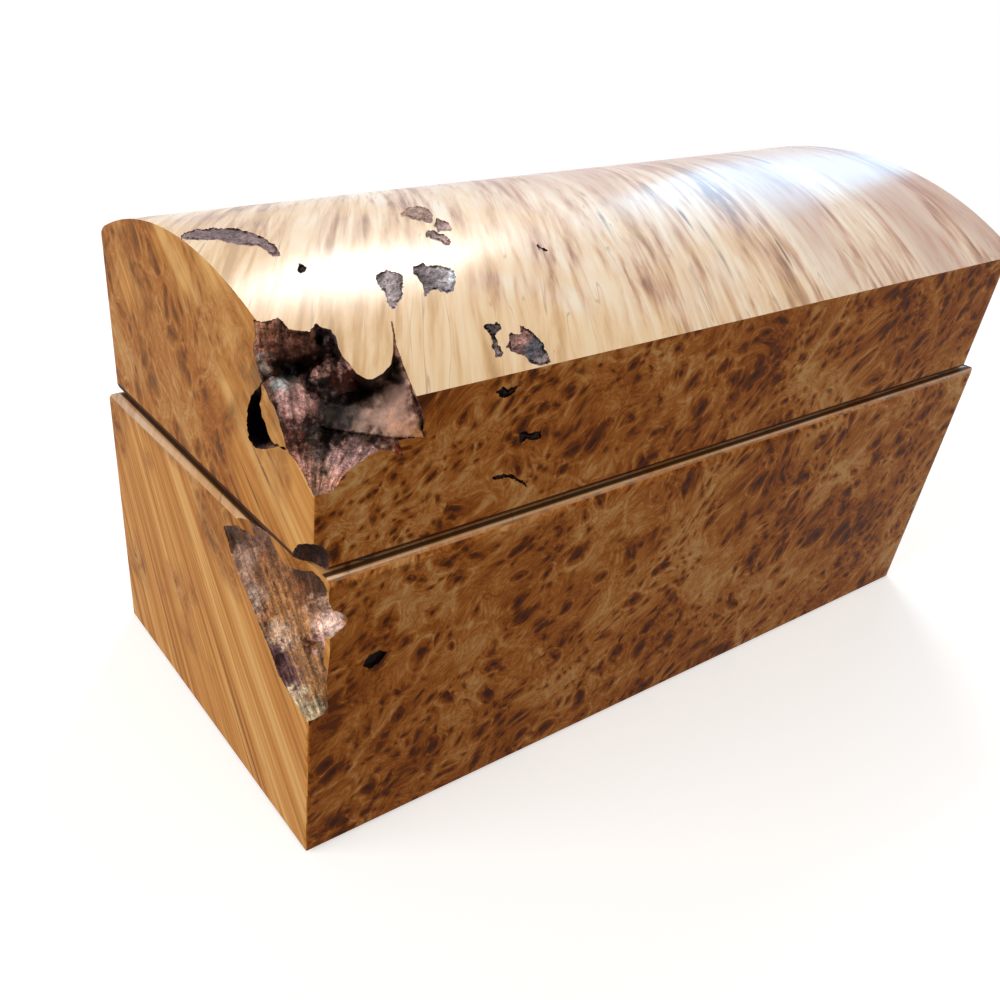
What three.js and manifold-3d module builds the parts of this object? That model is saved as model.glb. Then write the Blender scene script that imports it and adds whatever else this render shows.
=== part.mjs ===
// A jewelry box cut from one block of burl: a hollowed base, a domed and hollowed lid, and a lift-out tray.
// The bark pocket in the lid's left front corner and the scoop under it are natural edges of the burl.
// Millimetres. X runs along the box to the right, Y to the back and Z up; the origin is under its middle.
import * as THREE from "three";
import { mergeVertices } from "three/addons/utils/BufferGeometryUtils.js";
import Module from "manifold-3d";

const wasm = await Module();
wasm.setup();

// Base block
const BASE_LENGTH = 216;
const BASE_DEPTH = 99.4;
const RIM_HEIGHT = 70;
const END_WALL = 12;
const SIDE_WALL = 12.5;
const FLOOR_THICKNESS = 9;
const CAVITY_CORNER = 6;
const RIM_ROUND = 1.8;
const REAR_RIM_ROUND = 7;
const RIGHT_CORNER_ROUND = 5;
const SAWN_EDGE = 0.8;

// Lid block
const LID_INSET = 1.8;
const SEAM_GAP = 0.8;
const LID_FRONT_HEIGHT = 30;
const DOME_RISE = 16.2;
const CREST_Y = 6;
const LID_BACK_ROUND = 7;
const LID_HEEL_ROUND = 3;
const LID_HOLLOW_DEPTH = 15.5;
const DOME_STEPS = 30;

// Natural edges: how far the bark pocket, the heel scoop and the base's scoops reach from their corner,
// how deep the inclusions are, and the grid that their outlines are measured on
const POCKET_SIZE = 20;
const HEEL_SIZE = 10;
const SCOOP_SIZE = 40;
const INCLUSION_DEPTH = 1.6;
const INCLUSION_GRID = 10;

// Linings and the underside
const FELT_THICKNESS = 1.4;
const FELT_STANDS_OUT = 0.6;
const FELT_MARGIN = 6;
const LINING_THICKNESS = 1.2;
const FLOOR_PAD_THICKNESS = 2.5;
const LID_PAD_THICKNESS = 3;
const BUMPER_DIAMETER = 8;
const BUMPER_INSET = 14;
const FIT_GAP = 0.3;

// Hinges
const HINGE_LENGTH = 30;
const HINGE_INSET = 43;
const LEAF_THICKNESS = 1.6;
const LEAF_REACH = 7.4;
const PIN_SETBACK = 4;
const KNUCKLE_RADIUS = 2.2;
const KNUCKLE_COUNT = 5;
const PIN_RADIUS = 1.1;
const PIN_HEAD_RADIUS = 1.7;
const PIN_HEAD_LENGTH = 1.1;
const PIN_PLAY = 0.12;
const SCREW_HEAD_RADIUS = 1.8;
const SCREW_SHANK_RADIUS = 0.9;
const SCREW_LENGTH = 9;
const SCREW_HEAD_DEPTH = 1.1;
const SCREW_HEAD_SINK = 0.1;
const SCREW_HEAD_EDGE = 0.2;
const SCREW_POINT = 2.4;
const SCREW_SLOT_WIDTH = 0.5;
const SCREW_SLOT_DEPTH = 0.5;
const SCREWS_PER_LEAF = 3;

// Tray
const TRAY_HEIGHT = 20;
const TRAY_BELOW_RIM = 3;
const TRAY_PLAY = 1;
const TRAY_WALL = 4;
const TRAY_FLOOR = 2.5;
const TRAY_PAD = 1.5;
const DIVIDER_THICKNESS = 3;
const DIVIDER_BELOW_TOP = 2;
const RING_SECTION_LENGTH = 68;
const MIDDLE_SECTION_LENGTH = 56;
const RING_ROLLS = 6;
const ROLL_HEIGHT = 9;
const ROLL_GAP = 0.5;
const FINGER_NOTCH_RADIUS = 9;
const RUNNER_WIDTH = 5;
const RUNNER_HEIGHT = 6;

// Where things stand, from the sizes above
const halfLength = BASE_LENGTH / 2;
const halfDepth = BASE_DEPTH / 2;
const lidBottom = RIM_HEIGHT + SEAM_GAP;
const lidHalfLength = halfLength - LID_INSET;
const lidHalfDepth = halfDepth - LID_INSET;
const springHeight = lidBottom + LID_FRONT_HEIGHT;
const crestHeight = springHeight + DOME_RISE;
const cavityX = halfLength - END_WALL;
const cavityY = halfDepth - SIDE_WALL;
const blockBottom = FELT_STANDS_OUT;
const floorTop = blockBottom + FLOOR_THICKNESS;
const lidCeiling = lidBottom + LID_HOLLOW_DEPTH;
const linedX = cavityX - LINING_THICKNESS;
const linedY = cavityY - LINING_THICKNESS;
const pinY = halfDepth - PIN_SETBACK;
const pinZ = RIM_HEIGHT + SEAM_GAP / 2;
const trayTop = RIM_HEIGHT - TRAY_BELOW_RIM;
const trayBottom = trayTop - TRAY_HEIGHT;
const trayX = linedX - TRAY_PLAY;
const trayY = linedY - TRAY_PLAY;

// Closed meshes as solids, and back
function solidOf(geometry, matrix = new THREE.Matrix4()) {
  const bare = geometry.clone().applyMatrix4(matrix);
  bare.deleteAttribute("normal");
  bare.deleteAttribute("uv");
  const merged = mergeVertices(bare, 1e-4);
  return new wasm.Manifold(
    new wasm.Mesh({
      numProp: 3,
      vertProperties: merged.attributes.position.array,
      triVerts: new Uint32Array(merged.index.array),
    }),
  );
}

function geometryOf(solid) {
  const mesh = solid.getMesh();
  const geometry = new THREE.BufferGeometry();
  geometry.setAttribute("position", new THREE.BufferAttribute(mesh.vertProperties, mesh.numProp));
  geometry.setIndex(new THREE.BufferAttribute(mesh.triVerts, 1));
  geometry.computeVertexNormals();
  return geometry;
}

const joined = (solids) => solids.reduce((whole, solid) => whole.add(solid));
const cutBy = (solid, cutters) => cutters.reduce((left, cutter) => left.subtract(cutter), solid);

// Outlines: an arc as points, and a rectangle whose corners each have their own radius
function arc(x, y, radius, from, to, steps) {
  const points = [];
  for (let i = 0; i <= steps; i++) {
    const angle = from + ((to - from) * i) / steps;
    points.push(new THREE.Vector2(x + radius * Math.cos(angle), y + radius * Math.sin(angle)));
  }
  return points;
}

function roundedRectangle(x0, y0, x1, y1, radii, steps = 5) {
  const [frontLeft, frontRight, backRight, backLeft] = radii;
  const quarter = Math.PI / 2;
  return [
    ...arc(x0 + frontLeft, y0 + frontLeft, frontLeft, 2 * quarter, 3 * quarter, steps),
    ...arc(x1 - frontRight, y0 + frontRight, frontRight, 3 * quarter, 4 * quarter, steps),
    ...arc(x1 - backRight, y1 - backRight, backRight, 0, quarter, steps),
    ...arc(x0 + backLeft, y1 - backLeft, backLeft, quarter, 2 * quarter, steps),
  ];
}

// Prisms of an outline along each axis
function prism(points, z0, z1) {
  const geometry = new THREE.ExtrudeGeometry(new THREE.Shape(points), {
    depth: z1 - z0,
    bevelEnabled: false,
  });
  return solidOf(geometry.translate(0, 0, z0));
}

function prismAlongX(yzPoints, x0, x1) {
  const turn = new THREE.Matrix4().makeBasis(
    new THREE.Vector3(0, 1, 0),
    new THREE.Vector3(0, 0, 1),
    new THREE.Vector3(1, 0, 0),
  );
  const shape = new THREE.Shape(yzPoints);
  const geometry = new THREE.ExtrudeGeometry(shape, { depth: x1 - x0, bevelEnabled: false });
  return solidOf(geometry.translate(0, 0, x0), turn);
}

function prismAlongY(xzPoints, y0, y1) {
  const turn = new THREE.Matrix4().makeBasis(
    new THREE.Vector3(1, 0, 0),
    new THREE.Vector3(0, 0, 1),
    new THREE.Vector3(0, -1, 0),
  );
  const shape = new THREE.Shape(xzPoints);
  const geometry = new THREE.ExtrudeGeometry(shape, { depth: y1 - y0, bevelEnabled: false });
  return solidOf(geometry.translate(0, 0, -y1), turn);
}

function box(x0, x1, y0, y1, z0, z1) {
  const geometry = new THREE.BoxGeometry(x1 - x0, y1 - y0, z1 - z0);
  return solidOf(geometry.translate((x0 + x1) / 2, (y0 + y1) / 2, (z0 + z1) / 2));
}

function rodAlongX(radius, x0, x1, y, z, sides = 20) {
  const geometry = new THREE.CylinderGeometry(radius, radius, x1 - x0, sides).rotateZ(Math.PI / 2);
  return solidOf(geometry.translate((x0 + x1) / 2, y, z));
}

function rodAlongZ(radius, x, y, z0, z1, sides = 16) {
  const geometry = new THREE.CylinderGeometry(radius, radius, z1 - z0, sides).rotateX(Math.PI / 2);
  return solidOf(geometry.translate(x, y, (z0 + z1) / 2));
}

// A rough, rounded lump: an ellipsoid whose surface rises and falls in a few waves
function lump({ at, radii, tilt = 0, rough = 0.08, phase = 0, detail = 4 }) {
  const geometry = mergeVertices(new THREE.IcosahedronGeometry(1, detail).deleteAttribute("uv"), 1e-4);
  const place = geometry.attributes.position;
  const v = new THREE.Vector3();
  for (let i = 0; i < place.count; i++) {
    v.fromBufferAttribute(place, i).normalize();
    const waves =
      Math.sin(5 * v.x + 2.3 * v.z + phase) +
      Math.sin(6 * v.y - 3.1 * v.x + 1.7 * phase) +
      Math.sin(7 * v.z + 2.9 * v.y + 2.6 * phase);
    v.multiplyScalar(1 + (rough * waves) / 2);
    place.setXYZ(i, v.x, v.y, v.z);
  }
  const matrix = new THREE.Matrix4()
    .makeTranslation(...at)
    .multiply(new THREE.Matrix4().makeRotationX(tilt))
    .multiply(new THREE.Matrix4().makeScale(...radii));
  return solidOf(geometry, matrix);
}

// The two blocks before they are hollowed. Each is what its side, front and top outlines have in common.
function baseBlank() {
  const plan = roundedRectangle(-halfLength, -halfDepth, halfLength, halfDepth, [
    SAWN_EDGE,
    RIGHT_CORNER_ROUND,
    RIGHT_CORNER_ROUND,
    RIM_ROUND,
  ]);
  const side = roundedRectangle(-halfDepth, blockBottom, halfDepth, RIM_HEIGHT, [
    SAWN_EDGE,
    SAWN_EDGE,
    REAR_RIM_ROUND,
    RIM_ROUND,
  ]);
  const front = roundedRectangle(-halfLength, blockBottom, halfLength, RIM_HEIGHT, [
    SAWN_EDGE,
    SAWN_EDGE,
    RIM_ROUND,
    RIM_ROUND,
  ]);
  return prism(plan, blockBottom - 1, RIM_HEIGHT + 1)
    .intersect(prismAlongX(side, -halfLength - 1, halfLength + 1))
    .intersect(prismAlongY(front, -halfDepth - 1, halfDepth + 1));
}

// The lid's side outline: front wall, one long arc over the crest, a tighter bend at the back, back wall.
// sunk draws the same arc that much lower, for pockets of an even depth.
const crestRun = CREST_Y + lidHalfDepth;
const domeRadius = (crestRun ** 2 + DOME_RISE ** 2) / (2 * DOME_RISE);
const domeCentreZ = crestHeight - domeRadius;

function lidSideOutline(sunk = 0) {
  const radius = domeRadius - sunk;
  const back = lidHalfDepth - sunk;
  const bendY = back - LID_BACK_ROUND;
  const bendZ = domeCentreZ + Math.sqrt((radius - LID_BACK_ROUND) ** 2 - (bendY - CREST_Y) ** 2);
  const bendStart = Math.atan2(bendZ - domeCentreZ, bendY - CREST_Y);
  const springAngle = Math.PI - Math.asin((springHeight - sunk - domeCentreZ) / radius);
  return [
    ...arc(CREST_Y, domeCentreZ, radius, springAngle, bendStart, DOME_STEPS),
    ...arc(bendY, bendZ, LID_BACK_ROUND, bendStart, 0, 7).slice(1),
    ...arc(back - LID_HEEL_ROUND, lidBottom + LID_HEEL_ROUND, LID_HEEL_ROUND, 0, -Math.PI / 2, 5),
    ...arc(SAWN_EDGE - lidHalfDepth, lidBottom + SAWN_EDGE, SAWN_EDGE, -Math.PI / 2, -Math.PI, 3),
  ].reverse();
}

function lidBlank() {
  const plan = roundedRectangle(-lidHalfLength, -lidHalfDepth, lidHalfLength, lidHalfDepth, [
    SAWN_EDGE,
    RIGHT_CORNER_ROUND,
    RIGHT_CORNER_ROUND,
    RIM_ROUND,
  ]);
  return prism(plan, lidBottom - 1, crestHeight + 1).intersect(
    prismAlongX(lidSideOutline(), -lidHalfLength - 1, lidHalfLength + 1),
  );
}

// Natural edges. Each lump is placed from the corner that it has eaten away, as a share of that edge's size:
// from the lid's end, from its front and up from the given height.
const lumpsAt = (halfX, halfY, height, size, lumps) =>
  lumps.map(({ from: [x, y, z], radii, ...surface }) =>
    lump({
      at: [x * size - halfX, y * size - halfY, z * size + height],
      radii: radii.map((radius) => radius * size),
      ...surface,
    }),
  );

const pocketHollows = lumpsAt(lidHalfLength, lidHalfDepth, springHeight, POCKET_SIZE, [
  { from: [0.25, 0.35, -0.14], radii: [0.8, 0.75, 0.475], rough: 0.1, phase: 0.4, detail: 6 },
  { from: [0.1, 0.7, 0.3], radii: [0.425, 0.4, 0.45], rough: 0.14, phase: 2.1 },
  { from: [0.875, 0.05, -0.125], radii: [0.21, 0.325, 0.325], rough: 0.1, phase: 1.2 },
  { from: [1.025, 0.3, 0.15], radii: [0.08, 0.35, 0.35], rough: 0.05, phase: 0.2, detail: 3 },
  { from: [0, 0, -0.45], radii: [0.35, 0.4, 0.275], rough: 0.12, phase: 3.3 },
  { from: [0, 1.05, -0.4], radii: [0.3, 0.18, 0.325], rough: 0.1, phase: 4.2, detail: 3 },
]);

// Bark knobs left standing in the pocket; the first one was sawn off flush with the lid's end
const pocketKnobs = lumpsAt(lidHalfLength, lidHalfDepth, springHeight, POCKET_SIZE, [
  { from: [0.17, 0.7, -0.27], radii: [0.31, 0.22, 0.31], tilt: -0.6, rough: 0.16, phase: 0.9 },
  { from: [0.35, 1.05, 0.075], radii: [0.4, 0.3, 0.225], rough: 0.18, phase: 2.7 },
  { from: [0.6, 0.675, -0.025], radii: [0.2, 0.225, 0.2], rough: 0.18, phase: 5.1 },
]);

// The eaten-away corners either side of the seam
const heelScoops = lumpsAt(lidHalfLength, lidHalfDepth, lidBottom, HEEL_SIZE, [
  { from: [-0.28, -0.2, 0], radii: [0.65, 1.2, 0.95], rough: 0.06, phase: 1.5 },
]);
const baseScoops = lumpsAt(halfLength, halfDepth, RIM_HEIGHT, SCOOP_SIZE, [
  {
    from: [-0.25, -0.05, 0.05],
    radii: [0.3625, 1.025, 1.175],
    tilt: -0.88,
    rough: 0.03,
    phase: 0.6,
    detail: 7,
  },
  { from: [-0.1, -0.05, -0.45], radii: [0.2125, 0.375, 0.3625], rough: 0.05, phase: 1.9, detail: 6 },
  { from: [0.075, 0, -0.25], radii: [0.12, 0.175, 0.08], rough: 0.1, phase: 3.1, detail: 3 },
]);

// Bark inclusions that the dome was sanded through: closed curves, from the lid's left front corner
const inclusions = [
  [[-0.2, 5.2], [0.3, 5.58], [0.9, 5.4], [1.35, 4.85], [1.46, 4], [1.16, 3.66], [0.9, 4.2], [0.45, 5]],
  [[1.64, 3.42], [1.66, 3.14], [1.42, 2.98]],
  [[2.85, 2.64], [3.36, 2.56], [3.16, 2.1], [2.58, 1.7]],
  [[3.7, 2.64], [4.2, 2.64], [4.42, 2.28], [4.08, 1.86], [3.48, 1.94]],
  [[4.9, 4.84], [5.58, 5.22], [5.34, 4.24], [4.92, 4.38]],
  [[5.34, 4.16], [5.34, 3.7], [5.06, 3.84]],
  [[4.8, 3.84], [5, 3.24], [4.74, 3.42]],
  [[4.08, 1], [4.48, 0.98], [4.2, 0.4], [3.98, 0.38]],
  [[4.54, 0.78], [4.92, 0.84], [5.1, 0.38], [4.8, 0.16], [4.34, 0.4]],
];

function inclusionCutter(corners) {
  const places = corners.map(
    ([x, y]) => new THREE.Vector3(x * INCLUSION_GRID - lidHalfLength, y * INCLUSION_GRID - lidHalfDepth, 0),
  );
  const points = new THREE.CatmullRomCurve3(places, true).getPoints(3 * corners.length).slice(1);
  if (THREE.ShapeUtils.area(points) < 0) points.reverse();
  const outline = points.map((p) => new THREE.Vector2(p.x, p.y));
  const uncut = prismAlongX(lidSideOutline(INCLUSION_DEPTH), -halfLength, halfLength);
  return prism(outline, springHeight - INCLUSION_DEPTH, crestHeight + 1).subtract(uncut);
}

// Hinge: knuckles along the pin, alternately on the base leaf and the lid leaf
const knucklePitch = HINGE_LENGTH / KNUCKLE_COUNT;
const knuckleSpan = (i) => [
  -HINGE_LENGTH / 2 + i * knucklePitch + FIT_GAP / 2,
  -HINGE_LENGTH / 2 + (i + 1) * knucklePitch - FIT_GAP / 2,
];
const screwOffsets = Array.from(
  { length: SCREWS_PER_LEAF },
  (_, i) => (i - (SCREWS_PER_LEAF - 1) / 2) * (HINGE_LENGTH / SCREWS_PER_LEAF),
);
const screwY = -(LEAF_REACH + KNUCKLE_RADIUS) / 2;

// A leaf is drawn about the pin, lying towards -Y with its outer face away from the seam.
// side is -1 for the leaf let into the base and 1 for the one let into the lid.
function hingeLeaf(side) {
  const inner = (side * SEAM_GAP) / 2;
  const outer = inner + side * LEAF_THICKNESS;
  const [low, high] = [Math.min(inner, outer), Math.max(inner, outer)];
  let leaf = box(-HINGE_LENGTH / 2, HINGE_LENGTH / 2, -LEAF_REACH, 0, low, high);
  for (let i = 0; i < KNUCKLE_COUNT; i++) {
    const [from, to] = knuckleSpan(i);
    const own = i % 2 === (side < 0 ? 0 : 1);
    leaf = own
      ? leaf.add(rodAlongX(KNUCKLE_RADIUS, from, to, 0, 0))
      : leaf.subtract(rodAlongX(KNUCKLE_RADIUS + FIT_GAP, from - FIT_GAP, to + FIT_GAP, 0, 0));
  }
  const bore = rodAlongX(PIN_RADIUS + PIN_PLAY, -HINGE_LENGTH, HINGE_LENGTH, 0, 0);
  const sinks = screwOffsets.map((x) => screwSolid(side, FIT_GAP / 2).translate(x, screwY, 0));
  return cutBy(leaf, [bore, ...sinks]);
}

// A countersunk wood screw, drawn where it sits in a leaf at the pin's height. With room, the hole for one.
function screwSolid(side, room = 0) {
  const headTop = -SEAM_GAP / 2 - SCREW_HEAD_SINK;
  const neck = headTop - SCREW_HEAD_DEPTH;
  const tip = headTop - SCREW_LENGTH - room;
  const shank = SCREW_SHANK_RADIUS + room;
  const head = SCREW_HEAD_RADIUS + room;
  const top = room > 0 ? 0 : headTop;
  const profile = [
    new THREE.Vector2(0, tip),
    new THREE.Vector2(shank, tip + SCREW_POINT),
    new THREE.Vector2(shank, neck),
    new THREE.Vector2(head, headTop - SCREW_HEAD_EDGE),
    new THREE.Vector2(head, top),
    new THREE.Vector2(0, top),
  ];
  const turned = solidOf(new THREE.LatheGeometry(profile, 12).rotateX(Math.PI / 2));
  const reach = 2 * SCREW_HEAD_RADIUS;
  const half = SCREW_SLOT_WIDTH / 2;
  const slot = box(-reach, reach, -half, half, headTop - SCREW_SLOT_DEPTH, headTop + reach);
  const screw = room > 0 ? turned : turned.subtract(slot);
  return side < 0 ? screw : screw.rotate(180, 0, 0);
}

function hingePin() {
  const reach = HINGE_LENGTH / 2 + FIT_GAP / 2;
  const head = arc(0, 0, 1, 0, Math.PI / 2, 4).map(
    (p) => new THREE.Vector2(PIN_HEAD_RADIUS * p.x, reach + PIN_HEAD_LENGTH * p.y),
  );
  head[head.length - 1].x = 0;
  const right = [new THREE.Vector2(PIN_RADIUS, reach), ...head];
  const left = right.map((p) => new THREE.Vector2(p.x, -p.y)).reverse();
  return solidOf(new THREE.LatheGeometry([...left, ...right], 16).rotateZ(-Math.PI / 2));
}

// What is cut from a block for one hinge: the leaf's seat, a groove for the knuckles, the pilot holes
function hingeSeat(x, side) {
  const length = HINGE_LENGTH / 2 + FIT_GAP;
  const grooveLength = HINGE_LENGTH / 2 + PIN_HEAD_LENGTH + 2 * FIT_GAP;
  const inner = (side * SEAM_GAP) / 2;
  const outer = inner + side * (LEAF_THICKNESS + FIT_GAP);
  const [low, high] = [Math.min(-inner, outer), Math.max(-inner, outer)];
  const seat = box(-length, length, -LEAF_REACH - FIT_GAP, 0, low, high);
  const groove = rodAlongX(KNUCKLE_RADIUS + FIT_GAP, -grooveLength, grooveLength, 0, 0);
  const pilots = screwOffsets.map((at) => screwSolid(side, FIT_GAP / 2).translate(at, screwY, 0));
  return joined([seat, groove, ...pilots]).translate(x, pinY, pinZ);
}

const hinges = [
  { side: "left", x: HINGE_INSET - halfLength },
  { side: "right", x: halfLength - HINGE_INSET },
];

// Colours, from the photograph where it shows them
const finish = (color, roughness, metalness = 0) =>
  new THREE.MeshStandardMaterial({ color, roughness, metalness });
const burl = () => finish(0xa8713a, 0.35);
const brass = () => finish(0xb08d45, 0.3, 1);
const suede = () => finish(0x4a2a22, 0.95);
const baize = () => finish(0x2e2a26, 1);
const trayWood = () => finish(0xb98550, 0.5);
const leather = () => finish(0x3a2418, 0.8);

const whole = new THREE.Group();
const base = new THREE.Group();
const lid = new THREE.Group();
const tray = new THREE.Group();
whole.add(base, lid, tray);

function put(group, name, solid, material) {
  const mesh = new THREE.Mesh(geometryOf(solid), material);
  mesh.name = name;
  group.add(mesh);
  return mesh;
}

// Base block: hollowed from above, scooped at its left front corner, seated for the hinge leaves
const all = (radius) => [radius, radius, radius, radius];
const hollow = (shrink, z0, z1) => {
  const [x, y] = [cavityX - shrink, cavityY - shrink];
  return prism(roundedRectangle(-x, -y, x, y, all(CAVITY_CORNER - shrink), 6), z0, z1);
};
const feltX = halfLength - FELT_MARGIN;
const feltY = halfDepth - FELT_MARGIN;
const feltOutline = (grow) =>
  roundedRectangle(-feltX - grow, -feltY - grow, feltX + grow, feltY + grow, all(RIGHT_CORNER_ROUND));
put(
  base,
  "base_block",
  cutBy(baseBlank(), [
    hollow(0, floorTop, RIM_HEIGHT + 1),
    prism(feltOutline(FIT_GAP), blockBottom - 1, FELT_THICKNESS + FIT_GAP / 2),
    ...baseScoops,
    ...hinges.map(({ x }) => hingeSeat(x, -1)),
  ]),
  burl(),
);
put(base, "base_felt", prism(feltOutline(0), 0, FELT_THICKNESS), baize());

// Suede: a band round the walls of the base, and a pad that fills the floor of the base or the lid's ceiling
const liningPad = (z0, z1) => hollow(LINING_THICKNESS + FIT_GAP, z0, z1);
const padZ = floorTop + FIT_GAP;
const bandTop = RIM_HEIGHT - RIM_ROUND - 1;
const liningBand = hollow(FIT_GAP, padZ, bandTop).subtract(hollow(LINING_THICKNESS, padZ - 1, bandTop + 1));
put(base, "base_lining_band", liningBand, suede());
put(base, "base_lining_floor", liningPad(padZ, padZ + FLOOR_PAD_THICKNESS), suede());

// Runners that the tray stands on, one at each end
for (const [side, sign] of [["left", -1], ["right", 1]]) {
  const outerX = sign * (linedX - FIT_GAP);
  const innerX = outerX - sign * RUNNER_WIDTH;
  const runner = box(
    Math.min(outerX, innerX),
    Math.max(outerX, innerX),
    CAVITY_CORNER - linedY,
    linedY - CAVITY_CORNER,
    trayBottom - FIT_GAP - RUNNER_HEIGHT,
    trayBottom - FIT_GAP,
  );
  put(base, `tray_runner_${side}`, runner, trayWood());
}

// Leather dots in the front corners of the rim, which keep the seam open by the hinge leaves' gap
for (const [side, sign] of [["left", -1], ["right", 1]]) {
  const x = sign * (halfLength - BUMPER_INSET);
  const y = SIDE_WALL / 2 - halfDepth;
  const glue = FIT_GAP / 2;
  const dot = rodAlongZ(BUMPER_DIAMETER / 2, x, y, RIM_HEIGHT + glue, lidBottom - glue);
  put(base, `lid_bumper_${side}`, dot, leather());
}

// Hinges
for (const { side, x } of hinges) {
  put(base, `hinge_${side}_base_leaf`, hingeLeaf(-1), brass()).position.set(x, pinY, pinZ);
  put(base, `hinge_${side}_pin`, hingePin(), brass()).position.set(x, pinY, pinZ);
  put(lid, `hinge_${side}_lid_leaf`, hingeLeaf(1), brass()).position.set(x, pinY, pinZ);
  screwOffsets.forEach((offset, i) => {
    const place = [x + offset, pinY + screwY, pinZ];
    put(base, `hinge_${side}_base_screw_${i + 1}`, screwSolid(-1), brass()).position.set(...place);
    put(lid, `hinge_${side}_lid_screw_${i + 1}`, screwSolid(1), brass()).position.set(...place);
  });
}

// Lid block: hollowed from below, with the bark pocket and its knobs
const blank = lidBlank();
const knobs = joined(pocketKnobs).intersect(blank);
put(
  lid,
  "lid_block",
  cutBy(cutBy(blank, pocketHollows).add(knobs), [
    hollow(0, lidBottom - 1, lidCeiling),
    ...heelScoops,
    ...inclusions.map(inclusionCutter),
    ...hinges.map(({ x }) => hingeSeat(x, 1)),
  ]),
  burl(),
);
const lidPadTop = lidCeiling - FIT_GAP;
put(lid, "lid_pad", liningPad(lidPadTop - LID_PAD_THICKNESS, lidPadTop), suede());

// Tray: four mitred walls round a floor, each with a finger notch at the ends
const trayCorner = CAVITY_CORNER - LINING_THICKNESS - TRAY_PLAY;
const trayOutline = roundedRectangle(-trayX, -trayY, trayX, trayY, all(trayCorner), 4);
const trayInnerX = trayX - TRAY_WALL;
const trayInnerY = trayY - TRAY_WALL;
const trayInside = box(-trayInnerX, trayInnerX, -trayInnerY, trayInnerY, trayBottom - 1, trayTop + 1);
const trayRing = prism(trayOutline, trayBottom, trayTop).subtract(trayInside);

function mitredWall(sign, alongX) {
  const across = alongX ? trayY : trayX;
  const along = (alongX ? trayX : trayY) - FIT_GAP / Math.SQRT2;
  const inward = 2 * TRAY_WALL;
  const wedge = [
    [along - inward, across - inward],
    [along + inward, across + inward],
    [-along - inward, across + inward],
    [inward - along, across - inward],
  ].map(([a, b]) => (alongX ? new THREE.Vector2(a, sign * b) : new THREE.Vector2(sign * b, a)));
  if (THREE.ShapeUtils.area(wedge) < 0) wedge.reverse();
  return trayRing.intersect(prism(wedge, trayBottom - 1, trayTop + 1));
}

const notch = rodAlongX(FINGER_NOTCH_RADIUS, -trayX - 1, trayX + 1, 0, trayTop, 28);
put(tray, "tray_front", mitredWall(-1, true), trayWood());
put(tray, "tray_back", mitredWall(1, true), trayWood());
put(tray, "tray_left", mitredWall(-1, false).subtract(notch), trayWood());
put(tray, "tray_right", mitredWall(1, false).subtract(notch), trayWood());

const floorX = trayInnerX - FIT_GAP;
const floorY = trayInnerY - FIT_GAP;
const trayPanel = box(-floorX, floorX, -floorY, floorY, trayBottom, trayBottom + TRAY_FLOOR);
put(tray, "tray_floor", trayPanel, trayWood());

// Dividers: one closes off the ring section, the other the open section; a short one halves the middle
const padBottom = trayBottom + TRAY_FLOOR + FIT_GAP;
const dividerTop = trayTop - DIVIDER_BELOW_TOP;
const ringDividerX = -trayInnerX + RING_SECTION_LENGTH;
const openDividerX = ringDividerX + DIVIDER_THICKNESS + MIDDLE_SECTION_LENGTH;
for (const [name, x] of [["tray_ring_divider", ringDividerX], ["tray_open_divider", openDividerX]]) {
  put(tray, name, box(x, x + DIVIDER_THICKNESS, -floorY, floorY, padBottom, dividerTop), trayWood());
}
const middleFrom = ringDividerX + DIVIDER_THICKNESS + FIT_GAP;
const middleTo = openDividerX - FIT_GAP;
const halfDivider = DIVIDER_THICKNESS / 2;
put(
  tray,
  "tray_middle_divider",
  box(middleFrom, middleTo, -halfDivider, halfDivider, padBottom, dividerTop),
  trayWood(),
);

// Suede pads in the compartments
const openFrom = openDividerX + DIVIDER_THICKNESS + FIT_GAP;
const pads = [
  ["tray_ring_pad", -floorX, ringDividerX - FIT_GAP, -floorY, floorY],
  ["tray_middle_pad_front", middleFrom, middleTo, -floorY, -halfDivider - FIT_GAP],
  ["tray_middle_pad_back", middleFrom, middleTo, halfDivider + FIT_GAP, floorY],
  ["tray_open_pad", openFrom, floorX, -floorY, floorY],
];
for (const [name, x0, x1, y0, y1] of pads) {
  put(tray, name, box(x0, x1, y0, y1, padBottom, padBottom + TRAY_PAD), suede());
}

// Ring rolls: foam rods in suede, flat below, side by side across the ring section
const rollPitch = (2 * floorY) / RING_ROLLS;
const rollRadius = (rollPitch - ROLL_GAP) / 2;
const rollFrom = -floorX + ROLL_GAP;
const rollTo = ringDividerX - FIT_GAP - ROLL_GAP;
const rollBottom = padBottom + TRAY_PAD + FIT_GAP;
for (let i = 0; i < RING_ROLLS; i++) {
  const half = (rollTo - rollFrom) / 2;
  const end = half - rollRadius;
  const profile = [
    ...arc(0, -end, rollRadius, -Math.PI / 2, 0, 4),
    ...arc(0, end, rollRadius, 0, Math.PI / 2, 4),
  ];
  profile[0].x = 0;
  profile[profile.length - 1].x = 0;
  const capsule = solidOf(new THREE.LatheGeometry(profile, 16).rotateZ(-Math.PI / 2));
  const y = -floorY + (i + 0.5) * rollPitch;
  const centreZ = rollBottom + ROLL_HEIGHT - rollRadius;
  const roll = capsule.translate((rollFrom + rollTo) / 2, y, centreZ);
  const above = box(rollFrom - 1, rollTo + 1, -trayY, trayY, rollBottom, trayTop);
  put(tray, `ring_roll_${i + 1}`, roll.intersect(above), suede());
}

export default whole;
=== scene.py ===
"""A jewelry box cut from one block of burl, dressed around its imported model.

Sizes are in millimetres and meshes in metres. X runs along the box, Y to the back and Z up.
"""

import math

import bmesh
import bpy
import numpy as np
from mathutils import Matrix, Vector, noise
from mathutils.bvhtree import BVHTree


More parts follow.
